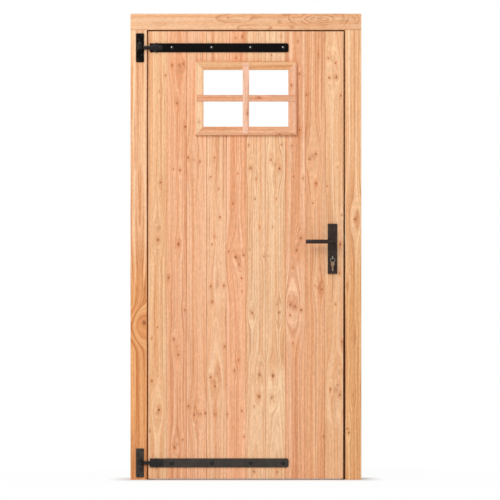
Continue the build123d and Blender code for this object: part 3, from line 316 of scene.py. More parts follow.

# Coats as (colour, edge colour for wear and painted shading, roughness, shine, dust and painted sheen, edge
# width, painted glint), in steps of 255 and metres
COAT_EDGE_WIDTH = 0.0008
COATS = {
    "hinge_black": ((9, 7, 6), (40, 36, 33), 0.46, 0.05),
    "hinge_eye_black": ((12, 10, 9), (110, 104, 98), 0.25, 0.24),
    # Lower eye and pin: dust and a faint painted sheen
    "hinge_eye_dust_and_sheen": ((14, 11, 9), (120, 112, 104), 0.26, 0.26, 0.04),
    "bolt_black": ((12, 10, 9), (60, 56, 52), 0.24, 0.3, 0.0, COAT_EDGE_WIDTH, True),
    "screw_black": ((12, 10, 9), (44, 40, 37), 0.30, 0.3),
    # Lower strap and plate: a lighter grey copy of the black coat, for dust and a painted sheen; its darker
    # edges are painted shade
    "hinge_black_dust_and_sheen": ((31, 27, 25), (10, 7, 6), 0.50, 0.22, 0.2, 0.0035),
    "handle_black": ((46, 36, 31), (14, 6, 4), 0.36, 0.15, 0.0, 0.002),
    "lever_black": ((33, 17, 9), (96, 76, 62), 0.20, 0.3),
}
COAT_CLOUD_NOISE = (38.0, 4.0, 0.6)
COAT_CLOUD_RANGE = (0.3, 0.7)
COAT_LIGHT_SHARES = (1.35, 1.35, 1.35)
COAT_GRIT_NOISE = (1500.0, 2.0)
COAT_ROUGHNESS_SPREAD = 0.16
COAT_BUMP = (0.22, 0.0002)
# Edges: wear, with painted shade where the edge colour is darker and painted highlight where it is much
# lighter
EDGE_AGREEMENT = (0.80, 0.985)
EDGE_WEAR_AND_SHADING_RANGE = (0.35, 0.65)
EDGE_WEAR_AND_SHADING_SHARES = (0.15, 0.75)
# Dust and painted sheen of the lower hinge
DUST_AND_SHEEN_COLOUR = (112, 102, 92)
DUST_AND_SHEEN_SHARES = (0.7, 1.0)
# Painted highlight: a white glint on the tops of the upper bolts that face the front
GLINT_FACING = (-0.12, -0.975, 0.18)
GLINT_COLOUR = (226, 224, 219)
GLINT_HEIGHTS = (0.8, 1.2)
GLINT_RANGE = (0.972, 0.999)

# Bright metals as (colour, roughness, brushed)
BRIGHTS = {
    "fixing_zinc": ((190, 190, 186), 0.35, 0.2),
    "lock_steel": ((104, 102, 98), 0.32, 0.3),
    "dull_nickel": ((70, 66, 62), 0.30, 0.15),
    "key_nickel": ((168, 158, 143), 0.28, 0.15),
}
BRUSH_NOISE = ((1800.0, 1800.0, 60.0), 2.0)
BRUSH_DISTANCE = 0.00005
TARNISH_NOISE = (90.0, 3.0)
TARNISH_RANGE = (0.3, 0.75)
TARNISH_SHARES = (0.86, 0.86, 0.86)
BRIGHT_EDGE_WIDTH = 0.0004
BRIGHT_EDGE_SHARES = (1.12, 1.12, 1.12)
BRIGHT_WEAR_SHARE = 0.5
BRIGHT_ROUGHNESS_SPREAD = 0.2
# Painted shade in the corners of bright metal
CORNER_SHADE_COLOUR = (38, 30, 24)
CORNER_SHADE_DISTANCE = 0.02
CORNER_SHADE_RANGE = (0.15, 0.7)
CORNER_SHADE_SHARE = 0.85

# Glass
GLASS_COLOUR = (0.985, 0.995, 0.992, 1.0)
GLASS_IOR = 1.5
GLASS_ALPHA = 0.25
SMEAR_NOISE = (14.0, 3.0)
SMEAR_RANGE = (0.5, 0.8)
SMEAR_ROUGHNESS = 0.04

# Finish of each material slot
SLOT_FINISHES = {
    "hinge_black": "hinge_black", "handle_black": "handle_black", "fixing_steel": "fixing_zinc",
    "lock_steel": "lock_steel", "cylinder_nickel": "dull_nickel", "key_nickel": "key_nickel",
}

# Meshes of the hardware, in metres
ROUND_SEGMENTS = 40
SMALL_SEGMENTS = 24
RIM_STEPS = 4
DOME_STEPS = 8
PIN_DOME_STEPS = 10
BEVEL_STEPS = 2
SHARP_ANGLE = math.radians(35)
WELD_DISTANCE = 1e-6
SORT_DIGITS = 4
LEVER_CORNER_SHARE = 0.18
NECK_RADIUS = 0.008
# Lever's neck from the bar outwards, as shares of the neck's and the bar's radius
NECK_SHARES = ((1.1, 0.0), (1.1, 0.8), (1.04, 1.1), (1.0, 1.5))
PIN_COLLAR_HEIGHT = 0.008
PIN_COLLAR_RADIUS = 0.0105
PIN_COLLAR_EDGE = 0.0015
PIN_DOME_HEIGHT = 0.013
PIN_DOME_RADIUS = 0.0085
PIN_RADIUS = 0.007
PIN_END_EDGE = 0.001
EYE_RADIUS = 0.0125
EYE_BORE_RADIUS = 0.00706
EYE_HALF_HEIGHT = 0.00825
EYE_EDGE = 0.0007
EYE_BAR_THICKNESS = 0.005
FLARE_END = -0.400
TAIL_HALF_HEIGHT = 0.013
TAIL_CORNER = 0.006
RIVET_RADIUS = 0.004
KEY_BOW_RADIUS = 0.0115
KEY_HOLE_RADIUS = 0.0032
KEY_HOLE_OFFSET = 0.0056
KEY_SHANK_LENGTH = 0.004
KEY_BLADE_HALF_HEIGHT = 0.004
KEY_BITTING_DEPTH = 0.0014
KEY_BITTING_SHARES = (0.25, 0.45, 0.65, 0.85)
KEY_TIP_EDGE = 0.0012
KEY_EDGE = 0.0003
SPARE_TURN = math.radians(40)
BOLT_RADIUS = 0.004
THREAD_PITCH = 0.00125
THREAD_DEPTH = 0.0006
THREAD_LENGTH = 0.016
NUT_SIDES = 6
NUT_STEPS = 48
NUT_FACE_SHARE = 0.96
NUT_CHAMFER_SHARE = 0.5
SCREW_SHANK_SHARE = 0.5
SCREW_POINT_SHARE = 4.0
FLAT_TOP_SHARE = 0.97
FLAT_EDGE_SHARE = 0.03
PLATE_BOLT_HEAD_HEIGHT = 0.003
PAN_TOP_SHARE = 0.62
# Pan head from its top down, as shares of its radius and its height
PAN_SHARES = ((0.85, 0.25), (1.0, 0.7), (1.0, 1.0))
RECESS_ARM_SHARE = 0.58
RECESS_HALF_SHARE = 0.2
RECESS_TAPER_SHARE = 0.7
RECESS_DEPTH_SHARE = 0.4


# Node trees

class Tree:
    """Adds nodes to one tree; an input is a socket or a plain value."""

    def __init__(self, tree):
        self.tree = tree

    def node(self, kind, inputs=None, **settings):
        """New node; its inputs go by name or by number."""
        made = self.tree.nodes.new(kind)
        for key, value in settings.items():
            setattr(made, key, value)
        for key, value in (inputs or {}).items():
            if isinstance(value, bpy.types.NodeSocket):
                self.tree.links.new(value, made.inputs[key])
            else:
                made.inputs[key].default_value = value
        return made

    def math(self, operation, *values):
        return self.node("ShaderNodeMath", dict(enumerate(values)), operation=operation).outputs[0]

    def plus(self, first, second):
        return self.math("ADD", first, second)

    def minus(self, first, second):
        return self.math("SUBTRACT", first, second)

    def times(self, first, second):
        return self.math("MULTIPLY", first, second)

    def over(self, first, second):
        return self.math("DIVIDE", first, second)

    def larger(self, first, second):
        return self.math("MAXIMUM", first, second)

    def times_plus(self, first, second, third):
        return self.math("MULTIPLY_ADD", first, second, third)

    def apart(self, first, second):
        return self.math("ABSOLUTE", self.minus(first, second))

    def length(self, first, second):
        return self.math("SQRT", self.plus(self.times(first, first), self.times(second, second)))

    def ease(self, value, span, start=0.0, end=1.0):
        """Smooth step from start to end over a span of the value."""
        inputs = {"Value": value, "From Min": span[0], "From Max": span[1], "To Min": start, "To Max": end}
        return self.node("ShaderNodeMapRange", inputs, interpolation_type="SMOOTHSTEP").outputs["Result"]

    def fade(self, value, span, start=1.0):
        """Smooth step from start to zero over a span of the value."""
        return self.ease(value, span, start, 0.0)

    def mix(self, share, first, second, blend="MIX"):
        """Colour between two others, or their product."""
        inputs = dict(zip(MIX_COLOURS, (share, first, second)))
        made = self.node("ShaderNodeMix", inputs, data_type="RGBA", blend_type=blend)
        return made.outputs[MIX_COLOUR_OUTPUT]

    def between(self, share, first, second):
        """Plain number between two others."""
        inputs = dict(zip(MIX_NUMBERS, (share, first, second)))
        return self.node("ShaderNodeMix", inputs, data_type="FLOAT").outputs[0]

    def vector(self, x, y, z):
        return self.node("ShaderNodeCombineXYZ", {"X": x, "Y": y, "Z": z}).outputs[0]

    def axes(self, vector):
        return self.node("ShaderNodeSeparateXYZ", {"Vector": vector}).outputs

    def place(self):
        """Coordinates of the object, which are the part's own."""
        return self.node("ShaderNodeTexCoord").outputs["Object"]

    def dot(self, first, second):
        made = self.node("ShaderNodeVectorMath", {0: first, 1: second}, operation="DOT_PRODUCT")
        return made.outputs["Value"]

    def noise(self, vector, scale, detail, roughness=NOISE_ROUGHNESS):
        inputs = {"Vector": vector, "Scale": scale, "Detail": detail, "Roughness": roughness}
        return self.node("ShaderNodeTexNoise", inputs).outputs["Fac"]

    def stretched_noise(self, values, scales, detail, roughness=NOISE_ROUGHNESS):
        """Noise of three coordinates, each times its own scale."""
        vector = self.vector(*[self.times(value, scale) for value, scale in zip(values, scales)])
        return self.noise(vector, 1.0, detail, roughness)

    def centred(self, noise):
        return self.minus(noise, NOISE_MIDDLE)

    def open_sky(self, distance):
        """One in the open, less in crevices."""
        made = self.node("ShaderNodeAmbientOcclusion", {"Distance": distance}, samples=SHADE_SAMPLES)
        return made.outputs["AO"]

    def bump(self, height, strength, distance, **normal):
        """Normal of a relief, on the surface's own or on a given Normal."""
        inputs = {"Height": height, "Strength": strength, "Distance": distance, **normal}
        return self.node("ShaderNodeBump", inputs).outputs[0]

    def fill(self, group, values):
        """Node of a group with its inputs set; gives its outputs."""
        return self.node("ShaderNodeGroup", values, node_tree=group).outputs

    def mix_shaders(self, share, first, second):
        inputs = {0: share, 1: first.outputs[0], 2: second.outputs[0]}
        return self.node("ShaderNodeMixShader", inputs).outputs[0]

    def surface(self, inputs):
        """Principled shader as the material's surface."""
        shader = self.node("ShaderNodeBsdfPrincipled", inputs)
        self.node("ShaderNodeOutputMaterial", {"Surface": shader.outputs[0]})


def new_group(name, inputs, outputs):
    """Node group with float inputs and outputs, empty apart from its source."""
    group = bpy.data.node_groups.new(name, "ShaderNodeTree")
    for way, labels in (("INPUT", inputs), ("OUTPUT", outputs)):
        for label in labels:
            group.interface.new_socket(label, in_out=way, socket_type="NodeSocketFloat")
    tree = Tree(group)
    return group, tree, tree.node("NodeGroupInput").outputs


def linear(colour):
    """Colour in steps of 255 as the shader's linear colour."""
    shares = [min(step / COLOUR_STEPS, 1.0) for step in colour]
    return (*Color(shares).from_srgb_to_scene_linear(), 1.0)


def shaded(tint, shares):
    return linear([step * share for step, share in zip(tint, shares)])


def new_material(name):
    material = bpy.data.materials.new(name)
    material.use_nodes = True
    material.node_tree.nodes.clear()
    return material, Tree(material.node_tree)


# Timber

def from_centre(tree, source):
    """Place on the piece, and its distances across and along from a centre."""
    place = tree.vector(source["Across"], source["Along"], 0.0)
    across = tree.minus(source["Across"], source["Centre Across"])
    along = tree.minus(source["Along"], source["Centre Along"])
    return place, across, along


def knot_group():
    """One knot: bends the grain around itself and adds its dark core and its halo."""
    found = ["Bend", "Core", "Halo"]
    group, tree, source = new_group("knot", CENTRE_INPUTS + ["Radius", "Dark"] + found, found)
    place, across, along = from_centre(tree, source)
    jagged = tree.centred(tree.noise(place, *KNOT_NOISE))

    def radii(stretch_share):
        return tree.over(tree.length(across, tree.times(along, stretch_share)), source["Radius"])

    def dark_spot(stretch_share, ragged, span):
        near = tree.times_plus(jagged, ragged, radii(stretch_share))
        return tree.times(tree.fade(near, span), source["Dark"])

    pull = tree.fade(radii(PULL_STRETCH_SHARE), PULL_RANGE, PULL_SHARE)
    tree.node("NodeGroupOutput", {"Bend": tree.minus(source["Bend"], tree.times(across, pull)),
                                  "Core": tree.larger(source["Core"], dark_spot(*KNOT_CORE)),
                                  "Halo": tree.larger(source["Halo"], dark_spot(*KNOT_HALO))})
    return group


def late_wood(tree, turn, power, fall):
    """Dark line that builds up over each turn and ends with it."""
    ring = tree.math("FRACT", turn)
    return tree.times(tree.math("POWER", ring, power), tree.fade(ring, fall))


def grain_group():
    """Growth rings around a pith that leans through the piece, with broad and narrow streaks."""
    names = ["Across", "Depth", "Along", "Pith Across", "Pith Depth", "Lean", "Origin", "Spacing", "Seed"]
    group, tree, source = new_group("grain", names, ["Late", "Streak", "Line"])
    along, seed = source["Along"], source["Seed"]
    sway = tree.stretched_noise((source["Across"], along, seed), *SWAY_NOISE)
    lean = tree.times(tree.minus(along, source["Origin"]), source["Lean"])
    side = tree.minus(source["Across"], source["Pith Across"])
    deep = tree.plus(tree.minus(source["Depth"], source["Pith Depth"]), lean)
    reach = tree.plus(tree.length(side, deep), tree.times(tree.centred(sway), SWAY_REACH))
    turn = tree.over(reach, source["Spacing"])
    drift = tree.stretched_noise((turn, seed, 0.0), *DRIFT_NOISE)
    turn = tree.plus(turn, tree.times(drift, RING_DRIFT))
    depth = tree.noise(tree.vector(tree.math("FLOOR", turn), seed, RING_SLICE), *RING_NOISE)
    late = late_wood(tree, turn, RING_POWER, RING_FALL)
    spot = (reach, seed, along)
    tree.node("NodeGroupOutput", {"Late": tree.times(late, tree.ease(depth, MIDDLE_RANGE, *RING_SHARES)),
                                  "Streak": tree.stretched_noise(spot, *STREAK_NOISE),
                                  "Line": tree.stretched_noise(spot, *LINE_NOISE)})
    return group


def loop_group():
    """Closed growth lines around a centre, wavering and broken here and there."""
    names = CENTRE_INPUTS + ["Half Across", "Half Along", "Count", "Lines"]
    group, tree, source = new_group("loop", names, ["Lines"])
    place, across, along = from_centre(tree, source)
    even = tree.length(tree.over(across, source["Half Across"]), tree.over(along, source["Half Along"]))
    near = tree.times_plus(tree.centred(tree.noise(place, *WAVER_NOISE)), LOOP_WAVER, even)
    line = late_wood(tree, tree.times(near, source["Count"]), LOOP_POWER, LOOP_FALL)
    broken = tree.ease(tree.noise(place, *BREAK_NOISE), BREAK_RANGE, *BREAK_SHARES)
    found = tree.times(line, tree.times(tree.fade(near, LOOP_RIM), broken))
    tree.node("NodeGroupOutput", {"Lines": tree.larger(source["Lines"], found)})
    return group


KNOT = knot_group()
GRAIN = grain_group()
LOOP = loop_group()


def add_knots(tree, across, along, knots, dark):
    """Chain of knots in millimetres; gives the bend, the cores and the halos."""
    found = {"Bend": 0.0, "Core": 0.0, "Halo": 0.0}
    least, more = KNOT_DARK_SHARES
    for knot_across, knot_along, radius in knots:
        turn = KNOT_DARK_TURNS[0] * knot_across + KNOT_DARK_TURNS[1] * knot_along
        made = tree.fill(KNOT, {
            "Across": across, "Along": along, "Centre Across": knot_across * MILLIMETRE,
            "Centre Along": knot_along * MILLIMETRE, "Radius": radius * MILLIMETRE,
            "Dark": dark * (least + more * math.sin(turn) ** 2), **found})
        found = {key: made[key] for key in found}
    return found.values()


def add_loops(tree, across, along, loops):
    """Chain of closed growth lines in millimetres; gives the lines."""
    lines = 0.0
    for centre_across, centre_along, half_across, half_along, count in loops:
        lines = tree.fill(LOOP, {
            "Across": across, "Along": along, "Centre Across": centre_across * MILLIMETRE,
            "Centre Along": centre_along * MILLIMETRE, "Half Across": half_across * MILLIMETRE,
            "Half Along": half_along * MILLIMETRE, "Count": count, "Lines": lines})["Lines"]
    return lines


def add_grain(tree, across, depth, along, pith, flames, spacing, seed):
    """Straight grain, replaced by flames of flat sawn grain where they are given."""
    fixed = {"Across": across, "Depth": depth, "Along": along, "Spacing": spacing, "Seed": seed}
    straight = tree.fill(GRAIN, {**fixed, "Pith Across": pith[0], "Pith Depth": pith[1]})
    found = {key: straight[key] for key in ("Late", "Streak", "Line")}
    for middle, origin, lean, low, high in flames:
        leaning = {"Pith Across": middle, "Pith Depth": FLAME_DEPTH, "Lean": lean, "Origin": origin}
        flame = tree.fill(GRAIN, {**fixed, **leaning})
        rise = tree.ease(along, (low, low + FLAME_SOFTNESS))
        inside = tree.times(rise, tree.fade(along, (high - FLAME_SOFTNESS, high)))
        found = {key: tree.between(inside, value, flame[key]) for key, value in found.items()}
    return found


def grain_colour(tree, tint, grain, dash, contrast):
    """Pale and red streaks with pale lines, dark lines, growth rings and short dashes over them."""
    pale, late = shaded(tint, PALE_SHARES), shaded(tint, LATE_SHARES)
    colour = tree.mix(tree.ease(grain["Streak"], STREAK_RANGE), pale, shaded(tint, RED_SHARES))
    colour = tree.mix(tree.fade(grain["Line"], PALE_LINE_RANGE, PALE_LINE_SHARE), colour, pale)
    dark_line = tree.ease(grain["Line"], DARK_LINE_RANGE, 0.0, DARK_LINE_SHARE * contrast)
    colour = tree.mix(dark_line, colour, late)
    colour = tree.mix(tree.times(grain["Late"], RING_SHARE * contrast), colour, late)
    return tree.mix(tree.times(dash, DASH_SHARE), colour, late)


def gap_shade(tree, axes):
    """Mask of the painted shade on the front edges beside the gap."""
    reach = tree.ease(axes["Z"], GAP_SHADE_HEIGHTS, *GAP_SHADE_REACHES)
    inside = tree.minus(reach, tree.apart(axes["X"], GAP_X))
    near = tree.ease(inside, GAP_SHADE_RANGE, 0.0, GAP_SHADE_SHARE)
    return tree.times(near, tree.fade(axes["Y"], GAP_SHADE_DEPTHS))


def timber(name, tint, pith, seed, knots=(), flames=(), swirls=(), level=False, contrast=1.0,
           spacing=RING_SPACING, shove=None, loops=(), low_tint=None, shaded_gap=False,
           crevices=CREVICE_SHARE):
    """Oiled softwood; level grain runs along X, other grain along Z; low_tint is its colour lower down."""
    material, tree = new_material(name)
    axes = tree.axes(tree.place())
    depth = axes["Y"]
    across, along = (axes["Z"], axes["X"]) if level else (axes["X"], axes["Z"])
    bend, core, halo = add_knots(tree, across, along, knots, 1.0)
    turned, faint_core, faint_halo = add_knots(tree, across, along, swirls, SWIRL_SHARE)
    bent = tree.plus(across, tree.plus(bend, turned))
    if shove:
        middle, amount, reach = shove
        bent = tree.plus(bent, tree.fade(tree.apart(along, middle), (0.0, reach), amount))
    grain = add_grain(tree, bent, depth, along, pith, flames, spacing, seed)
    spot = (bent, depth, along)
    fibre = tree.stretched_noise(spot, *FIBRE_NOISE)
    mottle = tree.ease(tree.stretched_noise(spot, *MOTTLE_NOISE), MIDDLE_RANGE, *MOTTLE_SHARES)
    dash = tree.ease(tree.stretched_noise(spot, *DASH_NOISE), DASH_RANGE)
    colour = grain_colour(tree, tint, grain, dash, contrast)
    if loops:
        lines = add_loops(tree, across, along, loops)
        colour = tree.mix(tree.times(lines, LOOP_LINE_SHARE), colour, shaded(tint, LOOP_SHARES))
    fine = tree.times(tree.ease(fibre, MIDDLE_RANGE, *FIBRE_SHARES), mottle)
    colour = tree.mix(1.0, colour, tree.vector(fine, fine, fine), "MULTIPLY")
    if low_tint:
        ratio = [low / high for low, high in zip(linear(low_tint), linear(tint))]
        colour = tree.mix(tree.fade(axes["Z"], LOW_TINT_HEIGHTS), colour, ratio, "MULTIPLY")
    warm = tree.times(tree.larger(halo, faint_halo), HALO_SHARE)
    colour = tree.mix(warm, colour, shaded(tint, WARM_SHARES))
    dark = tree.times(tree.larger(core, faint_core), CORE_SHARE)
    colour = tree.mix(dark, colour, shaded(tint, KNOT_SHARES))
    # Painted shade: the colour darkens where nearby surfaces hide the open sky, in crevices and gaps
    painted_shade_colour = shaded(tint, DEEP_SHADE_SHARES if shaded_gap else CREVICE_SHADE_SHARES)
    hollow = tree.fade(tree.open_sky(CREVICE_DISTANCE), CREVICE_RANGE, crevices)
    colour = tree.mix(hollow, colour, painted_shade_colour)
    # Painted shade: a dark band on the front edges beside the lock side gap, which stands for the gap in
    # shade
    if shaded_gap:
        colour = tree.mix(gap_shade(tree, axes), colour, painted_shade_colour)
    plain = tree.times_plus(fibre, FIBRE_ROUGHNESS, TIMBER_ROUGHNESS)
    relief = tree.plus(tree.times(grain["Late"], RELIEF_SHARE), tree.times(fibre, RELIEF_SHARE))
    tree.surface({"Base Color": colour, "Specular IOR Level": TIMBER_SPECULAR,
                  "Roughness": tree.times_plus(grain["Late"], LATE_ROUGHNESS, plain),
                  "Normal": tree.bump(relief, *TIMBER_BUMP)})
    return material


# Metal and glass

def edge_mask_for_wear_and_shading(tree, radius):
    """Rounded normal, and a mask that is strong on the edges."""
    soft = tree.node("ShaderNodeBevel", {"Radius": radius}, samples=SHADE_SAMPLES).outputs[0]
    flat = tree.node("ShaderNodeNewGeometry").outputs["Normal"]
    return soft, tree.fade(tree.dot(soft, flat), EDGE_AGREEMENT)


def coated_metal(name, colour, edge_colour, roughness, shine, dust_and_sheen=0.0, edge_width=COAT_EDGE_WIDTH,
                 painted_glint=False):
    """Dark powder coat with fine grit, edges in wear and painted shading, and dust with a painted sheen;
    the last flag paints a white highlight on the tops that face the front, higher than about a metre.
    """
    material, tree = new_material(name)
    place = tree.place()
    cloud = tree.noise(place, *COAT_CLOUD_NOISE)
    normal, edge = edge_mask_for_wear_and_shading(tree, edge_width)
    base = tree.mix(tree.ease(cloud, COAT_CLOUD_RANGE), linear(colour), shaded(colour, COAT_LIGHT_SHARES))
    # Edge colour: wear and painted shading; the dark edges of the handle plate and the lower strap are
    # painted shade, the light edges of the hinge eyes a painted highlight
    edge_wear_and_shading = tree.times(edge, tree.ease(cloud, EDGE_WEAR_AND_SHADING_RANGE, *EDGE_WEAR_AND_SHADING_SHARES))
    base = tree.mix(edge_wear_and_shading, base, linear(edge_colour))
    # Dust and painted sheen: a pale film, given on the lower hinge only
    dust_and_sheen_film = tree.times(tree.ease(cloud, MIDDLE_RANGE, *DUST_AND_SHEEN_SHARES), dust_and_sheen)
    base = tree.mix(dust_and_sheen_film, base, linear(DUST_AND_SHEEN_COLOUR))
    if painted_glint:
        # Painted highlight: a white glint on the tops that face the front, high up on the door
        front = tree.dot(tree.node("ShaderNodeTexCoord").outputs["Normal"], GLINT_FACING)
        high = tree.ease(tree.axes(place)["Z"], GLINT_HEIGHTS)
        base = tree.mix(tree.times(tree.ease(front, GLINT_RANGE), high), base, linear(GLINT_COLOUR))
    smoothest = roughness - COAT_ROUGHNESS_SPREAD / 2
    grit = tree.noise(place, *COAT_GRIT_NOISE)
    tree.surface({"Base Color": base, "Specular IOR Level": shine,
                  "Roughness": tree.times_plus(cloud, COAT_ROUGHNESS_SPREAD, smoothest),
                  "Normal": tree.bump(grit, *COAT_BUMP, Normal=normal)})
    return material


def bright_metal(name, colour, roughness, brushed):
    """Plated steel with brush marks along Z, faint tarnish and painted shade in its corners."""
    material, tree = new_material(name)
    place = tree.place()
    lines = tree.stretched_noise(tree.axes(place), *BRUSH_NOISE)
    normal, edge = edge_mask_for_wear_and_shading(tree, BRIGHT_EDGE_WIDTH)
    tarnish = tree.ease(tree.noise(place, *TARNISH_NOISE), TARNISH_RANGE)
    base = tree.mix(tarnish, linear(colour), shaded(colour, TARNISH_SHARES))
    base = tree.mix(tree.times(edge, BRIGHT_WEAR_SHARE), base, shaded(colour, BRIGHT_EDGE_SHARES))
    # Painted shade: darker where nearby surfaces hide the open sky
    corner_shade = tree.fade(tree.open_sky(CORNER_SHADE_DISTANCE), CORNER_SHADE_RANGE, CORNER_SHADE_SHARE)
    smoothest = roughness - BRIGHT_ROUGHNESS_SPREAD / 2
    tree.surface({"Base Color": tree.mix(corner_shade, base, linear(CORNER_SHADE_COLOUR)), "Metallic": 1.0,
                  "Roughness": tree.times_plus(lines, BRIGHT_ROUGHNESS_SPREAD, smoothest),
                  "Normal": tree.bump(lines, brushed, BRUSH_DISTANCE, Normal=normal)})
    return material


def clear_glass():
    """Clear glass with faint smears, partly see-through so that it casts little shade."""
    material, tree = new_material("pane_glass")
    smear = tree.noise(tree.place(), *SMEAR_NOISE)
    tree.surface({"Base Color": GLASS_COLOUR, "Transmission Weight": 1.0, "IOR": GLASS_IOR,
                  "Alpha": GLASS_ALPHA, "Roughness": tree.ease(smear, SMEAR_RANGE, 0.0, SMEAR_ROUGHNESS)})
    return material


# Dressing of the timber nodes

def dress(node, material):
    NODES[node].data.materials.clear()
    NODES[node].data.materials.append(material)


def dress_boards():
    """Each board in its own fir; the short ones over the window take that of the board below."""
    count = len(BOARD_TINTS)
    firs = []
    for number, tint in enumerate(BOARD_TINTS, start=1):
        middle = (number - (count + 1) / 2) * BOARD_PITCH
        across, behind = BOARD_PITHS[number - 1]
        firs.append(timber(
            f"board_fir_{number:02d}", tint, (middle + across, behind), BOARD_SEED_STEP * number,
            BOARD_KNOTS[number - 1], BOARD_FLAMES.get(number, ()), BOARD_SWIRLS[number - 1],
            shaded_gap=number == count, crevices=FAINT_CREVICE_SHADE_SHARE if number == 1 else CREVICE_SHARE))
        dress(f"board_{number:02d}", firs[-1])
    upper = NODES["boards_over_window"].data
    upper.materials.clear()
    cut = firs[FIRST_CUT_BOARD - 1:LAST_CUT_BOARD]
    for fir in cut:
        upper.materials.append(fir)
    for face in upper.polygons:
        step = math.floor(face.center.x / BOARD_PITCH) + len(cut) // 2
        face.material_index = min(len(cut) - 1, max(0, step))


def dress_joinery():
    for node, look in JOINERY.items():
        dress(node, timber(**look))
    dress("glazing_beads", NODES["casing_top"].data.materials[0])


def dress_ledges():
    for number, (node, tint) in enumerate(LEDGE_TINTS.items()):
        middle = middle_of(node).z
        stepped = (LEDGE_SEEDS, LEDGE_KNOT_STARTS, LEDGE_FLAME_ORIGINS, LEDGE_FLAME_ENDS)
        seed, start, origin, end = [first + step * number for first, step in stepped]
        knots = []
        for step in range(LEDGE_KNOTS):
            rise = LEDGE_KNOT_RISE * math.sin(LEDGE_KNOT_TURN * step + number)
            knots.append((middle / MILLIMETRE + rise, start + LEDGE_KNOT_STEP * step, LEDGE_KNOT_RADIUS))
        pith = (middle + LEDGE_PITH[0], LEDGE_PITH[1])
        flame = (middle + LEDGE_FLAME_RISE, origin, LEDGE_FLAME_LEAN, LEDGE_FLAME_START, end)
        dress(node, timber(f"{node}_fir", tint, pith, seed, knots, [flame], level=True))


# Meshes of the hardware

def middle_of(node):
    low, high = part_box(node)
    return (low + high) / 2


def facing(direction):
    """Turn that takes local Z to a direction."""
    return Vector(direction).to_track_quat("Z", "Y").to_matrix().to_4x4()


def around(radius, turn, height):
    return Vector((radius * math.cos(turn), radius * math.sin(turn), height))


def add_object(name, data):
    made = bpy.data.objects.new(name, data)
    bpy.context.scene.collection.objects.link(made)
    return made


def loose_boxes(node):
    """Lowest and highest corner of each separate solid of a node."""
    mesh = bmesh.new()
    mesh.from_mesh(NODES[node].data)
    bmesh.ops.remove_doubles(mesh, verts=mesh.verts, dist=WELD_DISTANCE)
    left = set(mesh.verts)
    boxes = []
    while left:
        island = {left.pop()}
        rim = list(island)
        while rim:
            for edge in rim.pop().link_edges:
                for vert in edge.verts:
                    if vert not in island:
                        island.add(vert)
                        rim.append(vert)
        left -= island
        corners = [[pick(vert.co[axis] for vert in island) for axis in range(3)] for pick in (min, max)]
        boxes.append((Vector(corners[0]), Vector(corners[1])))
    mesh.free()
    return sorted(boxes, key=lambda pair: (round(pair[0].z, SORT_DIGITS), round(pair[0].x, SORT_DIGITS)))


def lathe(mesh, place, profile, segments=ROUND_SEGMENTS):
    """Turned form around the local Z of a placing matrix; the profile is (radius, height) from one end."""
    turns = [FULL_TURN * step / segments for step in range(segments)]
    rings = []
    for radius, height in profile:
        spots = [around(radius, turn, height) for turn in (turns if radius else turns[:1])]
        rings.append([mesh.verts.new(place @ spot) for spot in spots])
    for low, high in zip(rings[:-1], rings[1:]):
        for step in range(segments):
            corners = [low[step % len(low)], low[(step + 1) % len(low)],
                       high[(step + 1) % len(high)], high[step % len(high)]]
            mesh.faces.new(list(dict.fromkeys(corners)))
    return rings


def round_edge(radius, height, corner):
    """Profile of a disc's rounded rim, from its flat top outwards and down; height is the top's."""
    turns = [math.pi / 2 * step / RIM_STEPS for step in range(RIM_STEPS + 1)]
    return [(radius - corner + corner * math.sin(a), height - corner + corner * math.cos(a)) for a in turns]


def dome(radius, height, steps=DOME_STEPS):
    """Profile of a cap from its top to its rim, with the rim at height zero."""
    turns = [math.pi / 2 * step / steps for step in range(steps + 1)]
    return [(radius * math.sin(a), height * math.cos(a)) for a in turns]


def threaded(radius, start, end):
    """Profile of a thread's ridges between two heights."""
    count = max(1, int((end - start) / THREAD_PITCH))
    points = []
    for turn in range(count):
        base = start + turn * THREAD_PITCH
        points += [(radius, base), (radius - THREAD_DEPTH, base + THREAD_PITCH / 2)]
    return points + [(radius, start + count * THREAD_PITCH)]


def finish_piece(name, mesh, node, material):
    """Object from a mesh that stands for a CAD node, on its body and with the given material; the node is
    hidden.
    """
    bmesh.ops.recalc_face_normals(mesh, faces=mesh.faces)
    data = bpy.data.meshes.new(name)
    mesh.to_mesh(data)
    mesh.free()
    data.shade_smooth()
    data.set_sharp_from_angle(angle=SHARP_ANGLE)
    data.materials.append(material)
    piece = add_object(name, data)
    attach(piece, BODY_OF[node])
    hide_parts(node)


def make_lever(node, material):
    """Round bar with softened ends on a neck that widens a little where it meets the bar."""
    low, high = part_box(node)
    size, centre = high - low, (low + high) / 2
    radius = size.z / 2
    side = -1 if centre.y < 0 else 1
    outer, root = (low.y, high.y) if side < 0 else (high.y, low.y)
    bar_y = outer - side * radius
    mesh = bmesh.new()
    end = round_edge(radius, size.x, LEVER_CORNER_SHARE * radius)
    start = [(r, size.x - h) for r, h in end]
    place = Matrix.Translation((low.x, bar_y, centre.z)) @ facing((1, 0, 0))
    lathe(mesh, place, [(0, 0)] + start + end[::-1] + [(0, size.x)])
    reach = abs(root - bar_y)
    place = Matrix.Translation((middle_of("spindle").x, bar_y, centre.z)) @ facing((0, -side, 0))
    neck = [(wide * NECK_RADIUS, along * radius) for wide, along in NECK_SHARES]
    lathe(mesh, place, [(0, 0)] + neck + [(NECK_RADIUS, reach), (0, reach)])
    finish_piece(f"{node}_round", mesh, node, material)


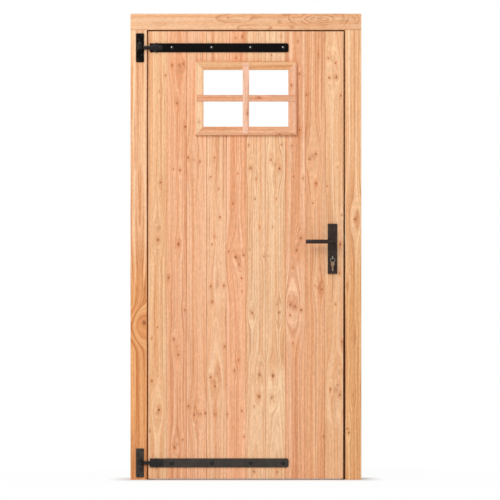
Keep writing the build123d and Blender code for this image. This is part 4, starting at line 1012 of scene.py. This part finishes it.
def domed_pin(mesh, low, high, face, shank):
    """Pin along Y whose domed head ends at a face, where the profile of its shank starts."""
    size, centre = high - low, (low + high) / 2
    place = Matrix.Translation((centre.x, face, centre.z)) @ facing((0, 1, 0))
    cap = [(r, -h) for r, h in dome(max(size.x, size.z) / 2, face - low.y)]
    lathe(mesh, place, cap + shank, SMALL_SEGMENTS)


def make_strap_bolts(material):
    """Coach bolts: smooth dome, square neck in the strap, shank with a thread at its end."""
    mesh = bmesh.new()
    strap_low, strap_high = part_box("upper_strap")
    neck_size = Vector((2 * BOLT_RADIUS, strap_high.y - strap_low.y, 2 * BOLT_RADIUS))
    for low, high in loose_boxes("strap_bolts"):
        length = high.y - strap_low.y
        thread = threaded(BOLT_RADIUS, length - THREAD_LENGTH, length - THREAD_PITCH)
        tip = [(BOLT_RADIUS - THREAD_DEPTH, length), (0, length)]
        domed_pin(mesh, low, high, strap_low.y, [(BOLT_RADIUS, 0)] + thread + tip)
        centre = (low + high) / 2
        centre.y = (strap_low.y + strap_high.y) / 2
        for vert in bmesh.ops.create_cube(mesh, size=1.0)["verts"]:
            vert.co = centre + vert.co * neck_size
    finish_piece("strap_bolts_round", mesh, "strap_bolts", material)


def make_rivets(material):
    """Rivets with domed heads on the bars of the hinge eyes."""
    mesh = bmesh.new()
    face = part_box("upper_strap")[0].y - EYE_BAR_THICKNESS
    for low, high in loose_boxes("hinge_rivets"):
        end = high.y - face
        domed_pin(mesh, low, high, face, [(RIVET_RADIUS, 0), (RIVET_RADIUS, end), (0, end)])
    finish_piece("hinge_rivets_round", mesh, "hinge_rivets", material)


def make_nuts(material):
    """Six sided nuts, chamfered to a circle on both faces and bored."""
    mesh = bmesh.new()
    half_side = math.pi / NUT_SIDES
    for low, high in loose_boxes("strap_nuts"):
        size, centre = high - low, (low + high) / 2
        flat, thick = min(size.x, size.z) / 2, size.y
        face = NUT_FACE_SHARE * flat
        place = Matrix.Translation((centre.x, low.y, centre.z)) @ facing((0, 1, 0))
        rings = []
        for step in range(NUT_STEPS):
            turn = FULL_TURN * step / NUT_STEPS
            away = (turn + half_side) % (2 * half_side) - half_side
            wide = flat / math.cos(half_side - abs(away))
            cut = NUT_CHAMFER_SHARE * (wide - face)
            spots = [(BOLT_RADIUS, 0), (face, 0), (wide, cut), (wide, thick - cut), (face, thick),
                     (BOLT_RADIUS, thick)]
            rings.append([mesh.verts.new(place @ around(r, turn, h)) for r, h in spots])
        for first, second in zip(rings, rings[1:] + rings[:1]):
            for k in range(len(first)):
                n = (k + 1) % len(first)
                mesh.faces.new((first[k], second[k], second[n], first[n]))
    finish_piece("strap_nuts_chamfered", mesh, "strap_nuts", material)


def make_pintle(node, material):
    """Hinge pin with a rounded head, a collar and a plain shank."""
    low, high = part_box(node)
    centre = (low + high) / 2
    mesh = bmesh.new()
    head = high.z - PIN_DOME_HEIGHT
    collar = head - PIN_COLLAR_HEIGHT
    profile = [(r, head + h) for r, h in dome(PIN_DOME_RADIUS, PIN_DOME_HEIGHT, PIN_DOME_STEPS)]
    rim = round_edge(PIN_COLLAR_RADIUS, head, PIN_COLLAR_EDGE)
    profile += rim + [(r, collar + head - h) for r, h in rim[::-1]]
    profile += [(PIN_RADIUS, collar), (PIN_RADIUS, low.z + PIN_END_EDGE)]
    profile += [(PIN_RADIUS - PIN_END_EDGE, low.z), (0, low.z)]
    lathe(mesh, Matrix.Translation((centre.x, centre.y, 0)), profile)
    finish_piece(f"{node}_round", mesh, node, material)


def cross_head(mesh, place, top_radius, depth, profile):
    """Screw turned from a profile under a flat top that has a cross recess; local Z points out of it."""
    top = lathe(mesh, place, [(top_radius, 0)] + profile, SMALL_SEGMENTS)[0]
    arm = RECESS_ARM_SHARE * top_radius
    half = RECESS_HALF_SHARE * top_radius
    spots = []
    for quarter in range(4):
        turn = Matrix.Rotation(quarter * math.pi / 2, 4, "Z")
        spots += [turn @ Vector(spot) for spot in ((half, half, 0), (half, arm, 0), (-half, arm, 0))]
    upper = [mesh.verts.new(place @ spot) for spot in spots]
    lower = [mesh.verts.new(place @ (RECESS_TAPER_SHARE * spot - Vector((0, 0, depth)))) for spot in spots]
    count = len(spots)
    edges = [mesh.edges.new((upper[k], upper[(k + 1) % count])) for k in range(count)]
    edges += [mesh.edges.get((top[k], top[(k + 1) % SMALL_SEGMENTS])) for k in range(SMALL_SEGMENTS)]
    bmesh.ops.triangle_fill(mesh, use_beauty=True, edges=edges)
    for k in range(count):
        mesh.faces.new((upper[k], upper[(k + 1) % count], lower[(k + 1) % count], lower[k]))
    mesh.faces.new(lower)


def make_screws(node, out, material, head_height=0.0):
    """Screws of a node with cross recesses; out is the way their heads face."""
    mesh = bmesh.new()
    axis = max(range(3), key=lambda k: abs(out[k]))
    for low, high in loose_boxes(node):
        size, place = high - low, (low + high) / 2
        place[axis] = high[axis] if out[axis] > 0 else low[axis]
        length = size[axis]
        size[axis] = 0
        radius = max(size) / 2
        shank = SCREW_SHANK_SHARE * radius
        if head_height:
            top = PAN_TOP_SHARE * radius
            profile = [(wide * radius, -down * head_height) for wide, down in PAN_SHARES]
            profile += [(shank, -head_height), (shank, -length), (0, -length)]
        else:
            top = FLAT_TOP_SHARE * radius
            depth = radius - shank
            thread = threaded(shank, SCREW_POINT_SHARE * shank - length, -depth)
            profile = [(radius, -FLAT_EDGE_SHARE * radius), (shank, -depth)] + thread[::-1] + [(0, -length)]
        cross_head(mesh, Matrix.Translation(place) @ facing(out), top, RECESS_DEPTH_SHARE * radius, profile)
    finish_piece(f"{node}_cross", mesh, node, material)


def circle(x, y, radius, segments, start=0.0, turn=FULL_TURN):
    """Points on an arc; a whole turn doesn't repeat its first point."""
    count = segments if turn == FULL_TURN else segments + 1
    angles = [start + turn * step / segments for step in range(count)]
    return [(x + radius * math.cos(a), y + radius * math.sin(a)) for a in angles]


def flat_plate(mesh, place, outlines, thickness, edge):
    """Plate with eased edges from an outline and holes in local (x, y), centred on its thickness."""
    curve = bpy.data.curves.new("outline", "CURVE")
    curve.dimensions = "2D"
    curve.fill_mode = "BOTH"
    curve.extrude = thickness / 2 - edge
    curve.bevel_depth = edge
    curve.bevel_resolution = BEVEL_STEPS
    curve.offset = -edge
    for points in outlines:
        spline = curve.splines.new("POLY")
        spline.points.add(len(points) - 1)
        spline.use_cyclic_u = True
        for spot, (x, y) in zip(spline.points, points):
            spot.co = (x, y, 0.0, 1.0)
    holder = bpy.data.objects.new("outline", curve)
    made = bpy.data.meshes.new_from_object(holder)
    made.transform(place)
    mesh.from_mesh(made)
    bpy.data.objects.remove(holder)
    bpy.data.curves.remove(curve)
    bpy.data.meshes.remove(made)


def make_hinge_eye(node, pintle, material):
    """Rolled eye with rounded rims, and its flared bar with eased edges."""
    low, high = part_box(node)
    pin, z = middle_of(pintle), middle_of(node).z
    mesh = bmesh.new()
    rim = round_edge(EYE_RADIUS, EYE_HALF_HEIGHT, EYE_EDGE)
    profile = [(EYE_BORE_RADIUS, EYE_HALF_HEIGHT)] + rim + [(r, -h) for r, h in rim[::-1]]
    profile += [(EYE_BORE_RADIUS, -EYE_HALF_HEIGHT), (EYE_BORE_RADIUS, EYE_HALF_HEIGHT)]
    lathe(mesh, Matrix.Translation((pin.x, pin.y, z)), profile)
    strap_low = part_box("upper_strap")[0]
    root = pin.x + math.sqrt(EYE_RADIUS ** 2 - EYE_BORE_RADIUS ** 2) - EYE_EDGE
    tail, wide, neck = TAIL_HALF_HEIGHT, (high.z - low.z) / 2, EYE_HALF_HEIGHT
    upper = [(root, neck), (strap_low.x, neck), (FLARE_END, wide), (FLARE_END, tail)]
    upper += [(high.x - TAIL_CORNER, tail), (high.x, tail - TAIL_CORNER)]
    outline = upper + [(px, -pz) for px, pz in upper[::-1]]
    place = Matrix.Translation((0, strap_low.y - EYE_BAR_THICKNESS / 2, z))
    flat_plate(mesh, place @ Matrix.Rotation(math.pi / 2, 4, "X"), [outline], EYE_BAR_THICKNESS, EYE_EDGE)
    bmesh.ops.remove_doubles(mesh, verts=mesh.verts, dist=WELD_DISTANCE)
    finish_piece(f"{node}_round", mesh, node, material)


def key_outlines(length):
    """Flat key in (along the blade, height) with its bow's centre at the origin: outline and hole."""
    half = KEY_BLADE_HALF_HEIGHT
    start = math.asin(half / KEY_BOW_RADIUS)
    outline = circle(0, 0, KEY_BOW_RADIUS, ROUND_SEGMENTS, start, FULL_TURN - 2 * start)
    blade_start = KEY_BOW_RADIUS + KEY_SHANK_LENGTH
    tip = length - KEY_BOW_RADIUS
    outline += [(tip - KEY_TIP_EDGE, -half), (tip, -half + KEY_TIP_EDGE), (tip, half - KEY_TIP_EDGE),
                (tip - KEY_TIP_EDGE, half)]
    for share in KEY_BITTING_SHARES[::-1]:
        spot = blade_start + share * (tip - blade_start)
        outline += [(spot + KEY_BITTING_DEPTH, half), (spot, half - KEY_BITTING_DEPTH),
                    (spot - KEY_BITTING_DEPTH, half)]
    return [outline, circle(-KEY_HOLE_OFFSET, 0, KEY_HOLE_RADIUS, SMALL_SEGMENTS)]


def make_key(node, place, length, thick, material):
    """Key whose blade runs along the local Y of a placing matrix, its bow's centre at the origin."""
    upright = Matrix(((0, 0, 1, 0), (1, 0, 0, 0), (0, 1, 0, 0), (0, 0, 0, 1)))
    mesh = bmesh.new()
    flat_plate(mesh, place @ upright, key_outlines(length), thick, KEY_EDGE)
    finish_piece(f"{node}_round", mesh, node, material)


def make_keys(material):
    """Key in the lock and the spare that hangs from it."""
    low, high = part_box("key")
    size, centre = high - low, (low + high) / 2
    centre.y = low.y + KEY_BOW_RADIUS
    make_key("key", Matrix.Translation(centre), size.y, size.x, material)
    spare_low, spare_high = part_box("spare_key")
    hole = (centre.x, centre.y - KEY_HOLE_OFFSET, spare_high.z - KEY_BOW_RADIUS + KEY_HOLE_OFFSET)
    turn = Matrix.Rotation(SPARE_TURN, 4, "Z") @ Matrix.Rotation(-math.pi / 2, 4, "X")
    place = Matrix.Translation(hole) @ turn @ Matrix.Translation((0, KEY_HOLE_OFFSET, 0))
    make_key("spare_key", place, spare_high.z - spare_low.z, size.x, material)


def make_key_ring(material):
    """Split ring of two flattened turns that touch."""
    low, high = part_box("key_ring")
    half = (high.y - low.y) / 2
    outer = (high.z - low.z) / 2
    mesh = bmesh.new()
    for side in (-1, 1):
        middle = side * half / 2
        wire = circle(outer - half, middle, half, SMALL_SEGMENTS)
        profile = [(r, middle + (h - middle) / 2) for r, h in wire]
        lathe(mesh, Matrix.Translation((low + high) / 2) @ facing((0, 1, 0)), profile + profile[:1])
    bmesh.ops.remove_doubles(mesh, verts=mesh.verts, dist=WELD_DISTANCE)
    finish_piece("key_ring_round", mesh, "key_ring", material)


def make_hardware():
    finishes = {name: coated_metal(name, *look) for name, look in COATS.items()}
    finishes.update({name: bright_metal(name, *look) for name, look in BRIGHTS.items()})
    for node, slot in SLOT_OF.items():
        if slot in SLOT_FINISHES:
            # The lower hinge takes the lighter coat with dust and a painted sheen
            lower_hinge = slot == "hinge_black" and node.startswith("lower")
            dress(node, finishes["hinge_black_dust_and_sheen" if lower_hinge else SLOT_FINISHES[slot]])
    dress("glass_pane", clear_glass())
    make_lever("outer_lever", finishes["lever_black"])
    make_lever("inner_lever", finishes["lever_black"])
    make_strap_bolts(finishes["bolt_black"])
    make_nuts(finishes["fixing_zinc"])
    for side, finish in (("upper", "hinge_eye_black"), ("lower", "hinge_eye_dust_and_sheen")):
        make_pintle(f"{side}_pintle", finishes[finish])
        make_hinge_eye(f"{side}_hinge_eye", f"{side}_pintle", finishes[finish])
    make_rivets(finishes["screw_black"])
    make_keys(finishes["key_nickel"])
    make_key_ring(finishes["key_nickel"])
    make_screws("hinge_plate_screws", (0, -1, 0), finishes["screw_black"])
    make_screws("ledge_screws", (0, 1, 0), finishes["fixing_zinc"])
    make_screws("strike_plate_screws", (-1, 0, 0), finishes["fixing_zinc"])
    make_screws("forend_screws", (1, 0, 0), finishes["fixing_zinc"])
    make_screws("handle_plate_bolts", (0, 1, 0), finishes["handle_black"], PLATE_BOLT_HEAD_HEIGHT)


# Stage, light and camera

def seen_directly(tree):
    """One for rays straight from the camera, in mirrors and through glass; zero for others."""
    path = tree.node("ShaderNodeLightPath").outputs
    passed_on = tree.larger(path["Is Glossy Ray"], path["Is Transmission Ray"])
    return tree.larger(path["Is Camera Ray"], passed_on)


def make_floor():
    """Pale floor, white to the camera except close to the frame's feet, where the shadow shows."""
    mesh = bpy.data.meshes.new("floor")
    h = FLOOR_HALF
    mesh.from_pydata([(-h, -h, 0), (h, -h, 0), (h, h, 0), (-h, h, 0)], [], [(0, 1, 2, 3)])
    floor = add_object("floor", mesh)
    material, tree = new_material("floor_white")
    axes = tree.axes(tree.place())
    beside = tree.minus(tree.math("ABSOLUTE", axes["X"]), cad_box[1][0])
    behind = tree.minus(tree.apart(axes["Y"], FLOOR_SHADE_MIDDLE), FLOOR_SHADE_DEPTH)
    away = tree.length(tree.larger(beside, 0.0), tree.larger(behind, 0.0))
    near = tree.ease(away, (0.0, FLOOR_NEAR_REACH), 0.0, FLOOR_WHITE_NEAR_SHARE)
    far = tree.ease(away, (FLOOR_NEAR_REACH, FLOOR_FAR_REACH), 0.0, 1.0 - FLOOR_WHITE_NEAR_SHARE)
    share = tree.times(seen_directly(tree), tree.plus(near, far))
    pale = {"Base Color": FLOOR_COLOUR, "Roughness": FLOOR_ROUGHNESS, "Specular IOR Level": 0.0}
    shader = tree.node("ShaderNodeBsdfPrincipled", pale)
    glow = tree.node("ShaderNodeEmission", {"Color": WHITE, "Strength": 1.0})
    tree.node("ShaderNodeOutputMaterial", {"Surface": tree.mix_shaders(share, shader, glow)})
    mesh.materials.append(material)


def make_world():
    world = bpy.data.worlds.new("studio")
    bpy.context.scene.world = world
    world.use_nodes = True
    world.node_tree.nodes.clear()
    tree = Tree(world.node_tree)
    light = tree.node("ShaderNodeBackground", {"Color": WHITE, "Strength": WORLD_STRENGTH})
    white = tree.node("ShaderNodeBackground", {"Color": WHITE, "Strength": 1.0})
    tree.node("ShaderNodeOutputWorld", {"Surface": tree.mix_shaders(seen_directly(tree), light, white)})


def make_light():
    lamp = bpy.data.lights.new("key", "AREA")
    lamp.shape = "DISK"
    lamp.size = LAMP_SIZE
    lamp.energy = LAMP_POWER
    light = add_object("key", lamp)
    light.location = LAMP_PLACE
    light.rotation_euler = (Vector(LAMP_TARGET) - Vector(LAMP_PLACE)).to_track_quat("-Z", "Y").to_euler()


def make_camera():
    lens = bpy.data.cameras.new("camera")
    lens.sensor_width = SENSOR_WIDTH
    lens.lens = SENSOR_WIDTH * CAMERA_DISTANCE / VIEW_WIDTH
    lens.clip_end = CLIP_END
    camera = add_object("camera", lens)
    camera.location = (CAMERA_X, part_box("hinge_jamb")[0].y - CAMERA_DISTANCE, CAMERA_Z)
    camera.rotation_euler = (math.pi / 2, 0.0, 0.0)
    bpy.context.scene.camera = camera


dress_boards()
dress_joinery()
dress_ledges()
make_hardware()
make_floor()
make_world()
make_light()
make_camera()
bpy.context.scene.view_settings.view_transform = "Standard"
